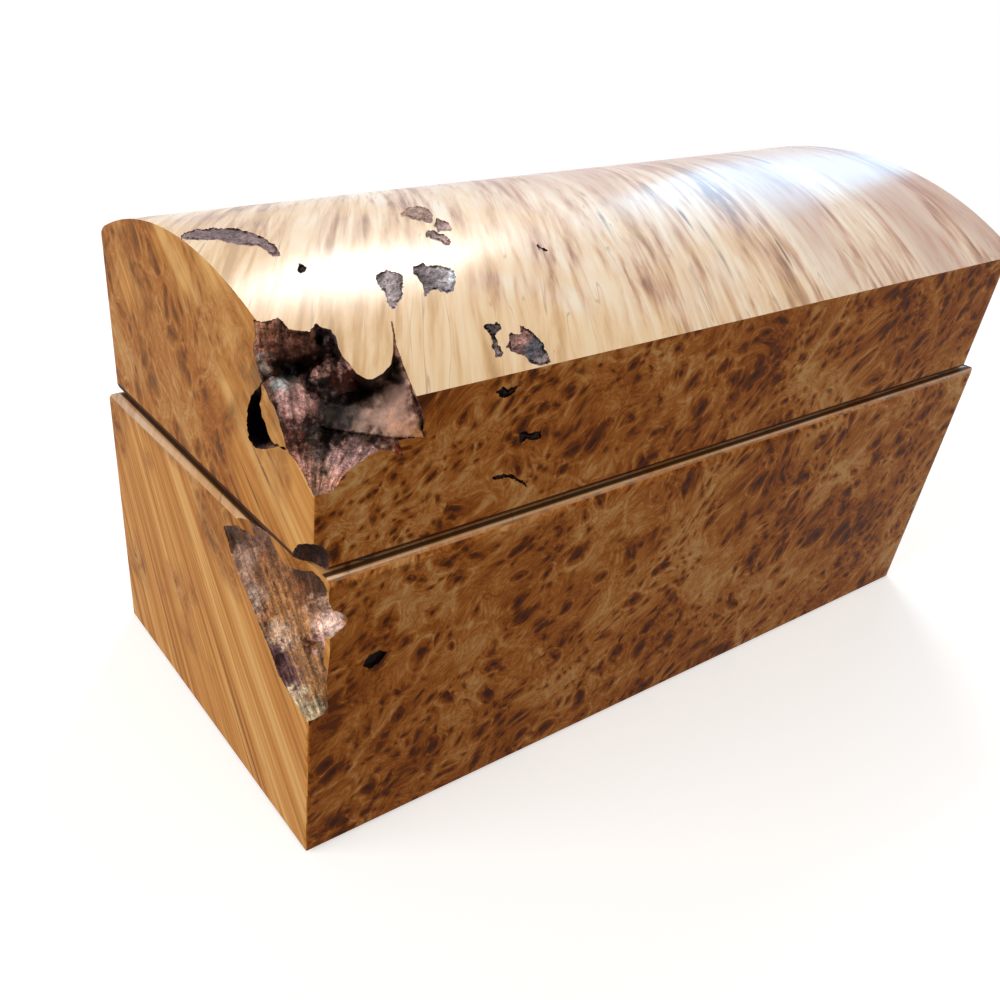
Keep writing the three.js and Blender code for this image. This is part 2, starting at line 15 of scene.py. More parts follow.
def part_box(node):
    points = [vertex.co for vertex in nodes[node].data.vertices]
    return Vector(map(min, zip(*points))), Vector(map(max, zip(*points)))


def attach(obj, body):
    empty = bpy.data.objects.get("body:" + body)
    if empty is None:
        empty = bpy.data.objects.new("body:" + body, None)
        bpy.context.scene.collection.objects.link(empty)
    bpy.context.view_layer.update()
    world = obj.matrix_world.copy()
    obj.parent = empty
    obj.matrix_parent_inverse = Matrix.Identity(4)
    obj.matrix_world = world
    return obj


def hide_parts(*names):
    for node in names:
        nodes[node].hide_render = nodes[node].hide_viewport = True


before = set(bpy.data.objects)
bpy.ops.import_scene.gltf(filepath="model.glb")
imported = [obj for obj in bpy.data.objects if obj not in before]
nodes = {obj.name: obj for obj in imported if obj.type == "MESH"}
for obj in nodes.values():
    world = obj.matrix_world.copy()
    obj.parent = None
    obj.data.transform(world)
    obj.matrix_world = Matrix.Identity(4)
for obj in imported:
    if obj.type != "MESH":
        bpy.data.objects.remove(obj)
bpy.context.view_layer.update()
scene = bpy.context.scene
scene.view_settings.view_transform = "Standard"


# Camera: the photograph's viewpoint, a little above the lid and off its left front corner.
# Its place and turn were solved from the corners of the block.
CAMERA_AT = (-176.98, -166.51, 165.74)
CAMERA_RIGHT = (0.84395, -0.53525, 0.03552)
CAMERA_DOWN = (-0.27104, -0.48263, -0.83283)
CAMERA_FORWARD = (0.46291, 0.69324, -0.55239)
SENSOR, LENS = 36, 34.32
camera = bpy.data.objects.new("camera", bpy.data.cameras.new("camera"))
scene.collection.objects.link(camera)
turn = Matrix((CAMERA_RIGHT, [-a for a in CAMERA_DOWN], [-a for a in CAMERA_FORWARD])).transposed()
camera.matrix_world = Matrix.Translation(Vector(CAMERA_AT) / 1000) @ turn.to_4x4()
camera.data.sensor_width, camera.data.lens = SENSOR, LENS
camera.data.shift_x, camera.data.shift_y = 0.1465, 0.0612
camera.data.clip_start = 0.005
scene.camera = camera


# Burl wood, sawn and lacquered. The figure is solid, so it runs through lid and base as through one block:
# pegs of grain fan out towards the front, end on in the front and back, side on in the dome and the ends.
def linear(text):
    """An sRGB hex colour as linear red, green, blue and alpha."""
    parts = [int(text[i : i + 2], 16) / 255 for i in (0, 2, 4)]
    return [p / 12.92 if p <= 0.04045 else ((p + 0.055) / 1.055) ** 2.4 for p in parts] + [1.0]


def wire(node, inputs):
    """Gives a node's inputs, in order or by number or name, each a link, a value or an sRGB hex colour."""
    for place, value in inputs.items() if isinstance(inputs, dict) else enumerate(inputs):
        if isinstance(value, bpy.types.NodeSocket):
            node.id_data.links.new(value, node.inputs[place])
        else:
            node.inputs[place].default_value = linear(value) if isinstance(value, str) else value


def add(tree, kind, inputs, output=0, stops=(), **settings):
    """Adds a shader node with its settings and inputs, and returns one of its outputs, or all for None."""
    made = tree.nodes.new(f"ShaderNode{kind}")
    for name, value in settings.items():
        setattr(made, name, value)
    for i, (place, color) in enumerate(stops):
        held = made.color_ramp.elements
        stop = held[i] if i < len(held) else held.new(place)
        stop.position, stop.color = place, linear(color)
    wire(made, inputs)
    return made.outputs if output is None else made.outputs[output]


EASED = {"interpolation_type": "SMOOTHSTEP"}


def new_material(name):
    """An empty node material, its tree and its principled shader."""
    material = bpy.data.materials.new(name)
    material.use_nodes = True
    return material, material.node_tree, material.node_tree.nodes["Principled BSDF"]


def in_mm(tree):
    """The place on the piece, in mm."""
    place = add(tree, "TexCoord", (), "Object")
    return add(tree, "VectorMath", {0: place, "Scale": 1000.0}, operation="SCALE")


def off_from(tree, value, middle):
    """How far a value lies from a middle, either way."""
    gap = add(tree, "Math", (value, middle), operation="SUBTRACT")
    return add(tree, "Math", (gap,), operation="ABSOLUTE")


def wander(tree, at, size, reach):
    """A place moved about by smooth noise of a size, up to about half a reach either way, both in mm."""
    push = add(tree, "TexNoise", {"Vector": at, "Scale": 1 / size, "Detail": 2.0}, "Color")
    push = add(tree, "VectorMath", (push, (0.5, 0.5, 0.5)), operation="SUBTRACT")
    return add(tree, "VectorMath", (push, (reach, reach, reach), at), operation="MULTIPLY_ADD")


FRONT_Y = -49.7
LEAST_SPREAD = 0.3


def along_pegs(tree, at, shares, centre, drawn_out):
    """Places across, up and along pegs of grain that fan out to the front from a centre, in mm at the front.

    The shares say how much each of X, Y and Z counts, and drawn_out how much the way along the pegs does.
    """
    off = add(tree, "Mapping", {"Vector": at, "Scale": shares, "Location": [-c for c in centre]})
    x, y, z = add(tree, "SeparateXYZ", (off,), None)
    spread = add(tree, "Math", (y, FRONT_Y - centre[1]), operation="DIVIDE")
    spread = add(tree, "Math", (spread, LEAST_SPREAD), operation="MAXIMUM")
    across = add(tree, "Math", (x, spread), operation="DIVIDE")
    up = add(tree, "Math", (z, spread), operation="DIVIDE")
    along = add(tree, "Math", (y, drawn_out), operation="MULTIPLY")
    return add(tree, "CombineXYZ", (across, up, along))


def pin_eyes(tree, at, pitch):
    """Distances from the middles of eyes about a pitch apart, as shares of the pitch, and random shares."""
    cells = add(tree, "TexVoronoi", {"Vector": at, "Scale": 1 / pitch}, None, voronoi_dimensions="2D")
    kind, size, _ = add(tree, "SeparateXYZ", (cells["Color"],), None)
    size = add(tree, "Math", (size, 0.9, 0.55), operation="MULTIPLY_ADD")
    return add(tree, "Math", (cells["Distance"], size), operation="DIVIDE"), kind


burl, tree, shader = new_material("burl_lacquered")
mm = in_mm(tree)
x_mm, y_mm, z_mm = add(tree, "SeparateXYZ", (mm,), None)
grain = add(tree, "Attribute", (), "Fac", attribute_name="end_grain")
facing_up = add(tree, "Attribute", (), "Fac", attribute_name="facing_up")

# Front and back, cut across the pegs. Eyes of 1.5 to 3.5 mm stand alone, and eyes of 1 mm crowd together in
# darker patches of 15 mm. All of them lean up to the right, and fine fibres flow round them. The same figure
# serves for the patches on the ends, laid out there along Y and Z.
LONE_PITCH, SMALL_PITCH = 7.6, 2.9
CLOUD, CROWD, FIGURE, VEIN = 26, 15, 7, 30
EYE_LEAN = math.radians(-32)
END_GRAIN = [(0.24, "5c2c0c"), (0.38, "8c4c18"), (0.52, "ac6b30"), (0.72, "c89a62")]
EYE_BROWN = "34150a"
cut_across = along_pegs(tree, mm, (1, 1, 1), (40.0, 160.0, 140.0), 0.035)
beside_up = add(tree, "Math", (z_mm, 0.8), operation="MULTIPLY")
beside = add(tree, "CombineXYZ", (y_mm, beside_up))
figured_at = add(tree, "Mix", {0: grain, 4: beside, 5: cut_across}, 1, data_type="VECTOR")
leaning = add(tree, "Mapping", {"Vector": figured_at, "Rotation": (0, 0, EYE_LEAN)})
leaning = add(tree, "VectorMath", (leaning, (0.84, 1.1, 1.0)), operation="MULTIPLY")
swirl = wander(tree, leaning, 24, 18)
curl = wander(tree, swirl, 4, 4)
cloud = add(tree, "TexNoise", {"Vector": swirl, "Scale": 1 / CLOUD, "Detail": 3.0})
figure = {"Vector": swirl, "Scale": 1 / FIGURE, "Detail": 4.0, "Roughness": 0.6, "Distortion": 0.7}
figure = add(tree, "TexNoise", figure)
patches = add(tree, "TexNoise", {"Vector": swirl, "Scale": 1 / CROWD, "Detail": 2.0, "Distortion": 0.4})
crowd = add(tree, "MapRange", (patches, 0.42, 0.54), **EASED)
eyes_at = wander(tree, swirl, 5, 2.6)
lone, lone_kind = pin_eyes(tree, eyes_at, LONE_PITCH)
small, small_kind = pin_eyes(tree, eyes_at, SMALL_PITCH)
lone_here = add(tree, "MapRange", (lone_kind, 0.36, 0.42), **EASED)
small_here = add(tree, "MapRange", (small_kind, 0.3, 0.4, 0.0, crowd), **EASED)
lone_core = add(tree, "MapRange", (lone, 0.05, 0.13, lone_here, 0.0), **EASED)
small_core = add(tree, "MapRange", (small, 0.08, 0.28, small_here, 0.0), **EASED)
lone_halo = add(tree, "MapRange", (lone, 0.14, 0.32, lone_here, 0.0), **EASED)
small_halo = add(tree, "MapRange", (small, 0.2, 0.55, small_here, 0.0), **EASED)
rim = add(tree, "MapRange", (off_from(tree, lone, 0.34), 0.0, 0.05, lone_here, 0.0), **EASED)
fibre_at = add(tree, "VectorMath", (lone, (4.5, 4.5, 4.5), curl), operation="MULTIPLY_ADD")
fibre_at = add(tree, "VectorMath", (fibre_at, (0.75, 1.15, 1.0)), operation="MULTIPLY")
fibre = add(tree, "TexNoise", {"Vector": fibre_at, "Scale": 0.9, "Detail": 6.0, "Roughness": 0.66})
edges = {"feature": "DISTANCE_TO_EDGE", "voronoi_dimensions": "2D"}
vein = add(tree, "TexVoronoi", {"Vector": swirl, "Scale": 1 / VEIN}, **edges)
vein = add(tree, "MapRange", (vein, 0.0, 0.035, 1.0, 0.0), **EASED)
tone = add(tree, "Math", (fibre, 0.72, -0.48), operation="MULTIPLY_ADD")
lightens = [(cloud, 0.68), (figure, 0.6), (vein, 0.1), (rim, 0.09)]
darkens = [(crowd, -0.05), (small_halo, -0.12), (lone_halo, -0.17)]
for part, share in lightens + darkens:
    tone = add(tree, "Math", (part, share, tone), operation="MULTIPLY_ADD")
end_color = add(tree, "ValToRGB", (tone,), stops=END_GRAIN)
cores = add(tree, "Math", (small_core, 0.8), operation="MULTIPLY")
cores = add(tree, "Math", (lone_core, cores), operation="MAXIMUM")
cores = add(tree, "Math", (cores, 0.85), operation="MULTIPLY")
end_color = add(tree, "Mix", {0: cores, 6: end_color, 7: EYE_BROWN}, 2, data_type="RGBA")

# Dome and ends, cut along the pegs: streaks 1 to 4 mm wide, drawn out towards the front. On the ends they run
# steeply down to it. Faces that look up, the dome above all, take paler colours, a painted highlight for the
# light that falls on top; the dome is pinkish to the right and back and golden to the left, with fine dark
# lines and short flecks.
STREAK, BROAD_STREAK, HAIR, FLECK_PITCH = 2.6, 15, 4, 5.0
ENDS = [(0.28, "a4662c"), (0.43, "c4823e"), (0.56, "d4954e"), (0.72, "e4b06c")]
LIT_DOME = [(0.27, "8e5c44"), (0.38, "cea284"), (0.49, "f0d4b8"), (0.64, "fff0dc")]
# Painted highlight: faces that look up take the paler dome colours, for the light that falls on top
domed = add(tree, "MapRange", (facing_up, 0.45, 0.55), **EASED)
on_ends = along_pegs(tree, mm, (0.05, 1, 1), (0.0, 110.0, 191.0), 0.07)
on_dome = along_pegs(tree, mm, (1, 1, 0.2), (190.0, 400.0, 23.6), 0.13)
long_at = add(tree, "Mix", {0: domed, 4: on_ends, 5: on_dome}, 1, data_type="VECTOR")
long_at = wander(tree, wander(tree, long_at, 30, 13), 6, 2.6)
streak = add(tree, "TexNoise", {"Vector": long_at, "Scale": 1 / STREAK, "Detail": 5.0, "Roughness": 0.55})
broad = add(tree, "TexNoise", {"Vector": long_at, "Scale": 1 / BROAD_STREAK, "Detail": 3.0})
hair_at = add(tree, "VectorMath", (long_at, (1, 1, 0.3)), operation="MULTIPLY")
hair = add(tree, "TexNoise", {"Vector": hair_at, "Scale": 1 / HAIR, "Detail": 2.0})
hair_here = add(tree, "MapRange", (streak, 0.45, 0.6, 0.05, 0.5), **EASED)
hair = add(tree, "MapRange", (off_from(tree, hair, 0.47), 0.0, 0.012, hair_here, 0.0), **EASED)
run = add(tree, "Math", (streak, 0.55), operation="SUBTRACT")
run = add(tree, "Math", (broad, 1.1, run), operation="MULTIPLY_ADD")
ends_color = add(tree, "ValToRGB", (run,), stops=ENDS)
dome_color = add(tree, "ValToRGB", (run,), stops=LIT_DOME)
near_back = add(tree, "Math", (x_mm, 0.0035), operation="MULTIPLY")
near_back = add(tree, "Math", (y_mm, 0.005, near_back), operation="MULTIPLY_ADD")
rosy = add(tree, "TexNoise", {"Vector": long_at, "Scale": 1 / 22, "Detail": 3.0})
rosy = add(tree, "Math", (rosy, near_back), operation="ADD")
rosy = add(tree, "MapRange", (rosy, 0.42, 0.74, 0.0, 0.6), **EASED)
golden = add(tree, "TexNoise", {"Vector": mm, "Scale": 1 / 17, "Detail": 3.0})
golden = add(tree, "Math", (golden, near_back), operation="SUBTRACT")
golden = add(tree, "MapRange", (golden, 0.56, 0.9, 0.0, 0.5), **EASED)
brown_rim = add(tree, "MapRange", (z_mm, 70.1, 70.5, 0.7, 0.0), **EASED)
for share, color in ((rosy, "ae705a"), (golden, "f4cc88"), (brown_rim, "c08a4c")):
    dome_color = add(tree, "Mix", {0: share, 6: dome_color, 7: color}, 2, data_type="RGBA")
long_color = add(tree, "Mix", {0: domed, 6: ends_color, 7: dome_color}, 2, data_type="RGBA")
hair_color = add(tree, "Mix", {0: domed, 6: "7d4a20", 7: "9a7052"}, 2, data_type="RGBA")
fleck, fleck_kind = pin_eyes(tree, long_at, FLECK_PITCH)
fleck_here = add(tree, "TexNoise", {"Vector": mm, "Scale": 1 / 22})
fleck_here = add(tree, "MapRange", (fleck_here, 0.5, 0.62, 0.0, 0.85), **EASED)
fleck_here = add(tree, "MapRange", (fleck_kind, 0.5, 0.6, 0.0, fleck_here), **EASED)
fleck = add(tree, "MapRange", (fleck, 0.06, 0.2, fleck_here, 0.0), **EASED)
for share, color in ((hair, hair_color), (fleck, "62402e")):
    long_color = add(tree, "Mix", {0: share, 6: long_color, 7: color}, 2, data_type="RGBA")

# Patches of eyes come up on the ends too, most of all near the top
bloom = add(tree, "TexNoise", {"Vector": mm, "Scale": 1 / 30, "Detail": 3.0})
bloom = add(tree, "Math", (z_mm, 0.0022, bloom), operation="MULTIPLY_ADD")
on_an_end = add(tree, "MapRange", (domed, 0.0, 1.0, 0.8, 0.0), **EASED)
bloom = add(tree, "MapRange", (bloom, 0.6, 0.74, 0.0, on_an_end), **EASED)
figured = add(tree, "Math", (grain, bloom), operation="MAXIMUM")
wood = add(tree, "Mix", {0: figured, 6: long_color, 7: end_color}, 2, data_type="RGBA")

# Painted shade: a dark line where the lid's shadow falls in the seam between the lid and the rim, and less
# coat there
LID_HALF_LENGTH, LID_HALF_DEPTH = 106.2, 47.9
SEAM_Z = 70.7
past = []
for place, half in ((x_mm, LID_HALF_LENGTH), (y_mm, LID_HALF_DEPTH)):
    out = add(tree, "Math", (place,), operation="ABSOLUTE")
    past.append(add(tree, "Math", (out, half), operation="SUBTRACT"))
off_lid = off_from(tree, add(tree, "Math", past, operation="MAXIMUM"), -0.15)
seam_shade = add(tree, "MapRange", (off_from(tree, z_mm, SEAM_Z), 0.8, 1.1, 0.92, 0.0), **EASED)
seam_shade = add(tree, "MapRange", (off_lid, 0.4, 0.9, seam_shade, 0.0), **EASED)
wood = add(tree, "Mix", {0: seam_shade, 6: wood, 7: "2c0e06"}, 2, data_type="RGBA")
coat = add(tree, "Math", (seam_shade, -0.85, 0.85), operation="MULTIPLY_ADD")
coat = add(tree, "MapRange", (facing_up, 0.0, 1.0, 0.0, coat), **EASED)
wire(shader, {"Base Color": wood, "Roughness": 0.5, "Specular IOR Level": 0.05})
wire(shader, {"Coat Weight": coat, "Coat Roughness": 0.24})

# Bark, as it shows in the pocket and the scoop: torn, ridged and dry, purple brown to grey. The stain of each
# place is set where the block is cut, with painted shade in its holes and under its overhangs and painted
# highlights on its lit tops among the stains; the material adds flecks, cracks and crumbs 0.3 to 3 mm across.
bark, tree, shader = new_material("bark_dry")
place = add(tree, "TexCoord", (), "Object")
stain_and_shading = add(tree, "Attribute", (), None, attribute_name="stain_and_shading")
mottle = add(tree, "TexNoise", {"Vector": place, "Scale": 420.0, "Detail": 8.0, "Roughness": 0.7})
crumbs = add(tree, "TexNoise", {"Vector": place, "Scale": 1900.0, "Detail": 3.0, "Roughness": 0.6})
crack = add(tree, "TexNoise", {"Vector": place, "Scale": 480.0, "Detail": 4.0, "Distortion": 1.2})
crack = off_from(tree, crack, 0.5)
light = add(tree, "MapRange", (mottle, 0.36, 0.64, 0.62, 1.3), **EASED)
for ends in ((crumbs, 0.3, 0.7, 0.7, 1.25), (crack, 0.0, 0.035, 0.4, 1.12)):
    share = add(tree, "MapRange", ends, **EASED)
    light = add(tree, "Math", (light, share), operation="MULTIPLY")
light = add(tree, "Mix", {0: stain_and_shading["Alpha"], 2: 0.9, 3: light})
color = add(tree, "VectorMath", {0: stain_and_shading["Color"], "Scale": light}, operation="SCALE")
bump = add(tree, "Bump", {"Height": mottle, "Strength": stain_and_shading["Alpha"], "Distance": 0.0006})
wire(shader, {"Base Color": color, "Normal": bump, "Roughness": 0.62, "Specular IOR Level": 0.1})


def skin_of(piece):
    """A piece's surface, to look for along a line."""
    bm = bmesh.new()
    bm.from_mesh(piece.data)
    skin = BVHTree.FromBMesh(bm)
    bm.free()
    return skin


def new_object(name, bm, materials):
    """Turns a bmesh in metres into a piece in the scene."""
    mesh = bpy.data.meshes.new(name)
    bm.to_mesh(mesh)
    bm.free()
    for material in materials:
        mesh.materials.append(material)
    piece = bpy.data.objects.new(name, mesh)
    scene.collection.objects.link(piece)
    return piece


def face_outwards(bm):
    bmesh.ops.recalc_face_normals(bm, faces=bm.faces)
    if bm.calc_volume(signed=True) < 0:
        bmesh.ops.reverse_faces(bm, faces=bm.faces)


def keep_modified(piece):
    """Makes what a piece's modifiers show its own mesh."""
    mesh = bpy.data.meshes.new_from_object(piece.evaluated_get(bpy.context.evaluated_depsgraph_get()))
    piece.modifiers.clear()
    piece.data = mesh


def carve(piece, lumps, operation):
    """Cuts each lump from the piece, or joins it on, and removes the lump."""
    for lump in lumps:
        step = piece.modifiers.new(lump.name, "BOOLEAN")
        step.object, step.operation, step.solver = lump, operation, "EXACT"
        step.material_mode = "TRANSFER"
    keep_modified(piece)
    for lump in lumps:
        bpy.data.objects.remove(lump)


# Natural edges, as the photograph shows them. Each is a relief, cut along the lines of sight from the
# camera's place: across and down are thousandths of the photograph's width, and depths are mm further off.
VIEW_SCALE = LENS / SENSOR * 1000
VIEW_MIDDLE = (500 - 146.5, 500 + 61.2)


def sight(across, down):
    """The direction from the camera's place through a point of the photograph, 1 mm deep."""
    x, y = (across - VIEW_MIDDLE[0]) / VIEW_SCALE, (down - VIEW_MIDDLE[1]) / VIEW_SCALE
    return Vector(CAMERA_FORWARD) + Vector(CAMERA_RIGHT) * x + Vector(CAMERA_DOWN) * y


def seen_from_camera(points):
    """Across and down for places in mm."""
    away = np.asarray(points) - CAMERA_AT
    deep = away @ CAMERA_FORWARD
    across = VIEW_MIDDLE[0] + VIEW_SCALE * (away @ CAMERA_RIGHT) / deep
    down = VIEW_MIDDLE[1] + VIEW_SCALE * (away @ CAMERA_DOWN) / deep
    return np.stack([across, down], axis=1)


def depth_of(skin, at):
    """How deep the block's surface lies behind each point of the photograph, in mm."""
    start = Vector(CAMERA_AT) / 1000
    hits = [skin.ray_cast(start, sight(*p))[0] for p in at]
    return np.array([(hit - start).dot(CAMERA_FORWARD) * 1000 if hit else np.nan for hit in hits])


def inset(at, outline):
    """How far each point lies inside a closed outline; negative outside."""
    a = np.array(outline, float)
    edge = np.roll(a, -1, 0) - a
    off = at[:, None] - a[None]
    share = np.clip((off * edge).sum(2) / (edge**2).sum(1), 0, 1)
    gap = np.linalg.norm(off - share[..., None] * edge, axis=2).min(1)
    crossed = (off[..., 1] < 0) != (off[..., 1] < edge[:, 1])
    slope = edge[:, 0] / np.where(edge[:, 1] == 0, 1e-9, edge[:, 1])
    odd = (crossed & (off[..., 0] < off[..., 1] * slope)).sum(1) % 2 == 1
    return np.where(odd, gap, -gap)


def blend(at, samples, soft=2.0):
    """Smooth values between samples, each of them across, down and one value."""
    s = np.array(samples, float)
    gap2 = ((at[:, None] - s[None, :, :2]) ** 2).sum(2) + soft**2
    weight = gap2**-1.5
    return (weight @ s[:, 2:] / weight.sum(1)[:, None])[:, 0]


def walk(outline, step):
    """Points about one step apart along a closed outline."""
    a = np.array(outline, float)
    points = []
    for p, q in zip(a, np.roll(a, -1, 0)):
        count = max(1, round(float(np.linalg.norm(q - p)) / step))
        points += [p + (q - p) * i / count for i in range(count)]
    return np.array(points)


def crag(at, scale, lengthen=1.0, seed=0.0):
    """Fractal noise over the photograph, about -1 to 1."""
    places = [(x / scale, y / scale / lengthen, seed) for x, y in at]
    return np.array([noise.fractal(p, 0.8, 2.0, 5, noise_basis="PERLIN_NEW") for p in places])


def fan(at, centre, count, seed):
    """Ridges that fan out from a point, about -1 to 1."""
    off = at - np.array(centre)
    turn, far = np.arctan2(off[:, 0], off[:, 1]), np.hypot(off[:, 0], off[:, 1])
    places = zip(turn * count, far / 60)
    return np.array([noise.fractal((a, b, seed), 0.9, 2.0, 4, noise_basis="PERLIN_NEW") for a, b in places])


CUTTER_STEP = 0.9
CLEAR_OF_BLOCK = 1.5
CUTTER_NEAR = 120


def relief(name, skin, window, step, deepen):
    """A closed cutter. Its back is the block's surface moved away by what deepen returns for each point."""
    left, top, right, bottom = window
    bm = bmesh.new()
    count = [round((right - left) / step), round((bottom - top) / step)]
    bmesh.ops.create_grid(bm, x_segments=count[0], y_segments=count[1], size=1)
    at = np.array([v.co[:2] for v in bm.verts]) / 2 + 0.5
    at = at * (right - left, bottom - top) + (left, top)
    deep = depth_of(skin, at)
    extra = deepen(at, deep)
    clear = np.nanmin(deep) - CLEAR_OF_BLOCK
    deep = np.where(extra > -2.5, deep + np.maximum(extra, -CLEAR_OF_BLOCK), clear)
    deep[np.isnan(deep)] = clear
    back = list(bm.verts)
    grown = bmesh.ops.extrude_face_region(bm, geom=bm.faces[:], use_keep_orig=True)["geom"]
    start = Vector(CAMERA_AT)
    for v in grown:
        if isinstance(v, bmesh.types.BMVert):
            p = Vector(v.co[:2]) / 2 + Vector((0.5, 0.5))
            toward = sight(left + p.x * (right - left), top + p.y * (bottom - top))
            v.co = (start + toward * CUTTER_NEAR) / 1000
    for v, p, d in zip(back, at, deep):
        v.co = (start + sight(*p) * d) / 1000
    face_outwards(bm)
    return new_object(name, bm, [bark])


# The lid's long arc, about an axis along X: the axis's Y and Z, and the radius
DOME_AXIS = (6.0, 19.2326)
DOME_RADIUS = 97.7674
SHARP = math.radians(38)
BARK_BASE = "7a5646"


def finish_block(piece, stains_and_shading, ridges_from, ridge_count, smooth_part, torn):
    """Sharp arrises, flat faces that shade flat, how far each place faces up, which paints it paler, and its
    end grain and bark stains.

    The bark's ridges fan out from a point. How torn it looks, 0 to 1, goes with the stain and painted shading
    as its alpha.
    """
    mesh = piece.data
    mesh.shade_smooth()
    mesh.set_sharp_from_angle(angle=SHARP)
    normals = [Vector(n.vector) for n in mesh.corner_normals]
    end_grain = mesh.attributes.new("end_grain", "FLOAT", "CORNER").data
    facing_up = mesh.attributes.new("facing_up", "FLOAT", "CORNER").data
    for face in mesh.polygons:
        is_flat = max(abs(a) for a in face.normal) > 0.9998
        off = Vector((0, face.center.y * 1000 - DOME_AXIS[0], face.center.z * 1000 - DOME_AXIS[1]))
        domed = face.normal.z > 0.3 and abs(off.length - DOME_RADIUS) < 0.02 and face.material_index == 0
        for i in face.loop_indices:
            if is_flat:
                normals[i] = face.normal
            elif domed:
                place = mesh.vertices[mesh.loops[i].vertex_index].co * 1000
                normals[i] = Vector((0, place.y - DOME_AXIS[0], place.z - DOME_AXIS[1])).normalized()
            up = normals[i].z if face.normal.z > 0.1 else 0.0
            facing_up[i].value = min(max((up - 0.2) / 0.5, 0), 1)
            end_grain[i].value = min(max((abs(face.normal.y) - 0.6) / 0.15, 0), 1)
    mesh.normals_split_custom_set(normals)
    at = seen_from_camera([v.co * 1000 for v in mesh.vertices])
    ridges = fan(at, ridges_from, ridge_count, 11.0)
    detail = torn * (1 - 0.75 * np.clip(inset(at, smooth_part) / 4, 0, 1))
    at = at + np.column_stack([8 * crag(at, 9, seed=12.0), 14 * crag(at, 9, seed=13.0)])
    middles = np.array([row[:2] for row in stains_and_shading], float)
    reaches = np.array([row[2] for row in stains_and_shading], float)
    tones = np.array([linear(row[3])[:3] for row in stains_and_shading])
    weight = np.exp(-((at[:, None] - middles[None]) ** 2).sum(2) / reaches**2)
    colors = (weight @ tones + 0.01 * np.array(linear(BARK_BASE)[:3])) / (weight.sum(1) + 0.01)[:, None]
    colors *= np.clip(1 + 1.1 * ridges * detail, 0.45, 1.7)[:, None]
    stain_and_shading = mesh.attributes.new("stain_and_shading", "FLOAT_COLOR", "POINT").data
    stain_and_shading.foreach_set("color", np.column_stack([colors, detail]).ravel())


# Base block: hollowed burl with a natural edge down its left front corner, where the bark fell away.
# The hollow, hinge seats and felt recess are the CAD block's own. Its plain scoop is cut again, ridged, torn.
GOUGE = [
    (223, 526), (237, 525), (251, 534), (278, 558), (286, 565), (296, 569), (306, 571), (312, 571),
    (318, 575.6), (323, 581), (327.4, 590.9), (327.4, 598.6), (333.5, 612.4), (344.2, 620.8), (335, 627.7),
    (325.8, 638.5), (320.5, 650), (320.4, 670.7), (323.5, 686), (325, 706), (319.7, 715), (313, 720),
    (307.4, 722), (287.5, 690.6), (278, 673.7), (270.6, 652), (258, 621.6), (250.7, 603), (233.8, 563),
]
# How much deeper than a plain bevel between its edges the gouge lies, in mm
GOUGE_DIPS = [
    (305, 583, 2.6), (318, 592, 2.2), (322, 605, 1.0), (331, 618, 0.5), (326, 630, 0.7), (300, 618, 1.2),
    (285, 600, 1.4), (268, 598, 0.8), (284, 575, 1.6), (288, 640, 0.9), (303, 650, 1.4), (313, 645, 2.4),
    (281, 662, 1.9), (289, 676, 2.2), (314, 680, 0.9), (298, 700, 0.3), (313, 704, 0.6), (240, 545, 0.4),
]
# The bark's stains, with painted shade in the darkest rows under the rim and round the slot and a painted
# highlight in the pale pink one on the ledge at the right: across, down, how far each one reaches, and its
# colour
GOUGE_STAINS_AND_SHADING = [
    (232, 535, 8, "5a3c28"), (245, 565, 8, "b8927c"), (256, 598, 9, "c8a896"), (268, 570, 10, "b0764c"),
    (280, 600, 13, "b88050"), (296, 590, 10, "96603c"), (310, 583, 9, "50301e"), (296, 625, 10, "b07c50"),
    (330, 621, 8, "f0d0c2"), (318, 610, 7, "c49a80"), (308, 642, 6, "4a2414"), (303, 662, 10, "a87850"),
    (281, 662, 9, "644850"), (288, 678, 8, "7a5858"), (300, 705, 11, "e0caa8"), (316, 690, 7, "aa7848"),
    (284, 632, 9, "c0a088"), (322, 640, 5, "c89a8c"), (375, 660, 14, "140b08"),
]
GOUGE_RIDGES_FROM, GOUGE_RIDGES = (420, 1000), 90
SLOT = [(362, 666), (369, 655), (380, 650), (387, 652), (381, 661), (370, 669)]

# The copy of the CAD block is merged first, since its triangles are loose
bm = bmesh.new()
bm.from_mesh(nodes["base_block"].data)
bmesh.ops.remove_doubles(bm, verts=bm.verts, dist=1e-6)
base_block = new_object("burl_base", bm, [burl])
skin = skin_of(base_block)


def gouge_depth(at, deep):
    """The bevel between the gouge's edges, dipped and ridged; its right edge lies further out low down."""
    inside = inset(at, [(x + 3.5 if 640 < y < 720 and x > 310 else x, y) for x, y in GOUGE])
    edge = walk(GOUGE, 8)
    bevel = blend(at, np.column_stack([edge, depth_of(skin, edge)]))
    dip = blend(at, GOUGE_DIPS + [(x, y, 0.0) for x, y in edge])
    torn = np.clip(inside / 5, 0, 1)
    rough = 0.75 * fan(at, GOUGE_RIDGES_FROM, GOUGE_RIDGES, 1.0) + 0.35 * crag(at, 7, 1.6, seed=2.0)
    deeper = np.maximum(bevel + dip + rough * torn - deep, 0.12)
    return np.minimum(deeper, (inside + 0.8 * crag(at, 5)) * 0.9)


def slot_depth(at, deep):
    return np.minimum(1.6 + 0.4 * crag(at, 4, seed=14.0), inset(at, SLOT) + 0.6 * crag(at, 4, seed=15.0))


gouge = relief("gouge", skin, (212, 514, 356, 733), CUTTER_STEP, gouge_depth)
slot = relief("slot", skin, (356, 644, 393, 675), CUTTER_STEP * 0.7, slot_depth)
carve(base_block, [gouge, slot], "DIFFERENCE")

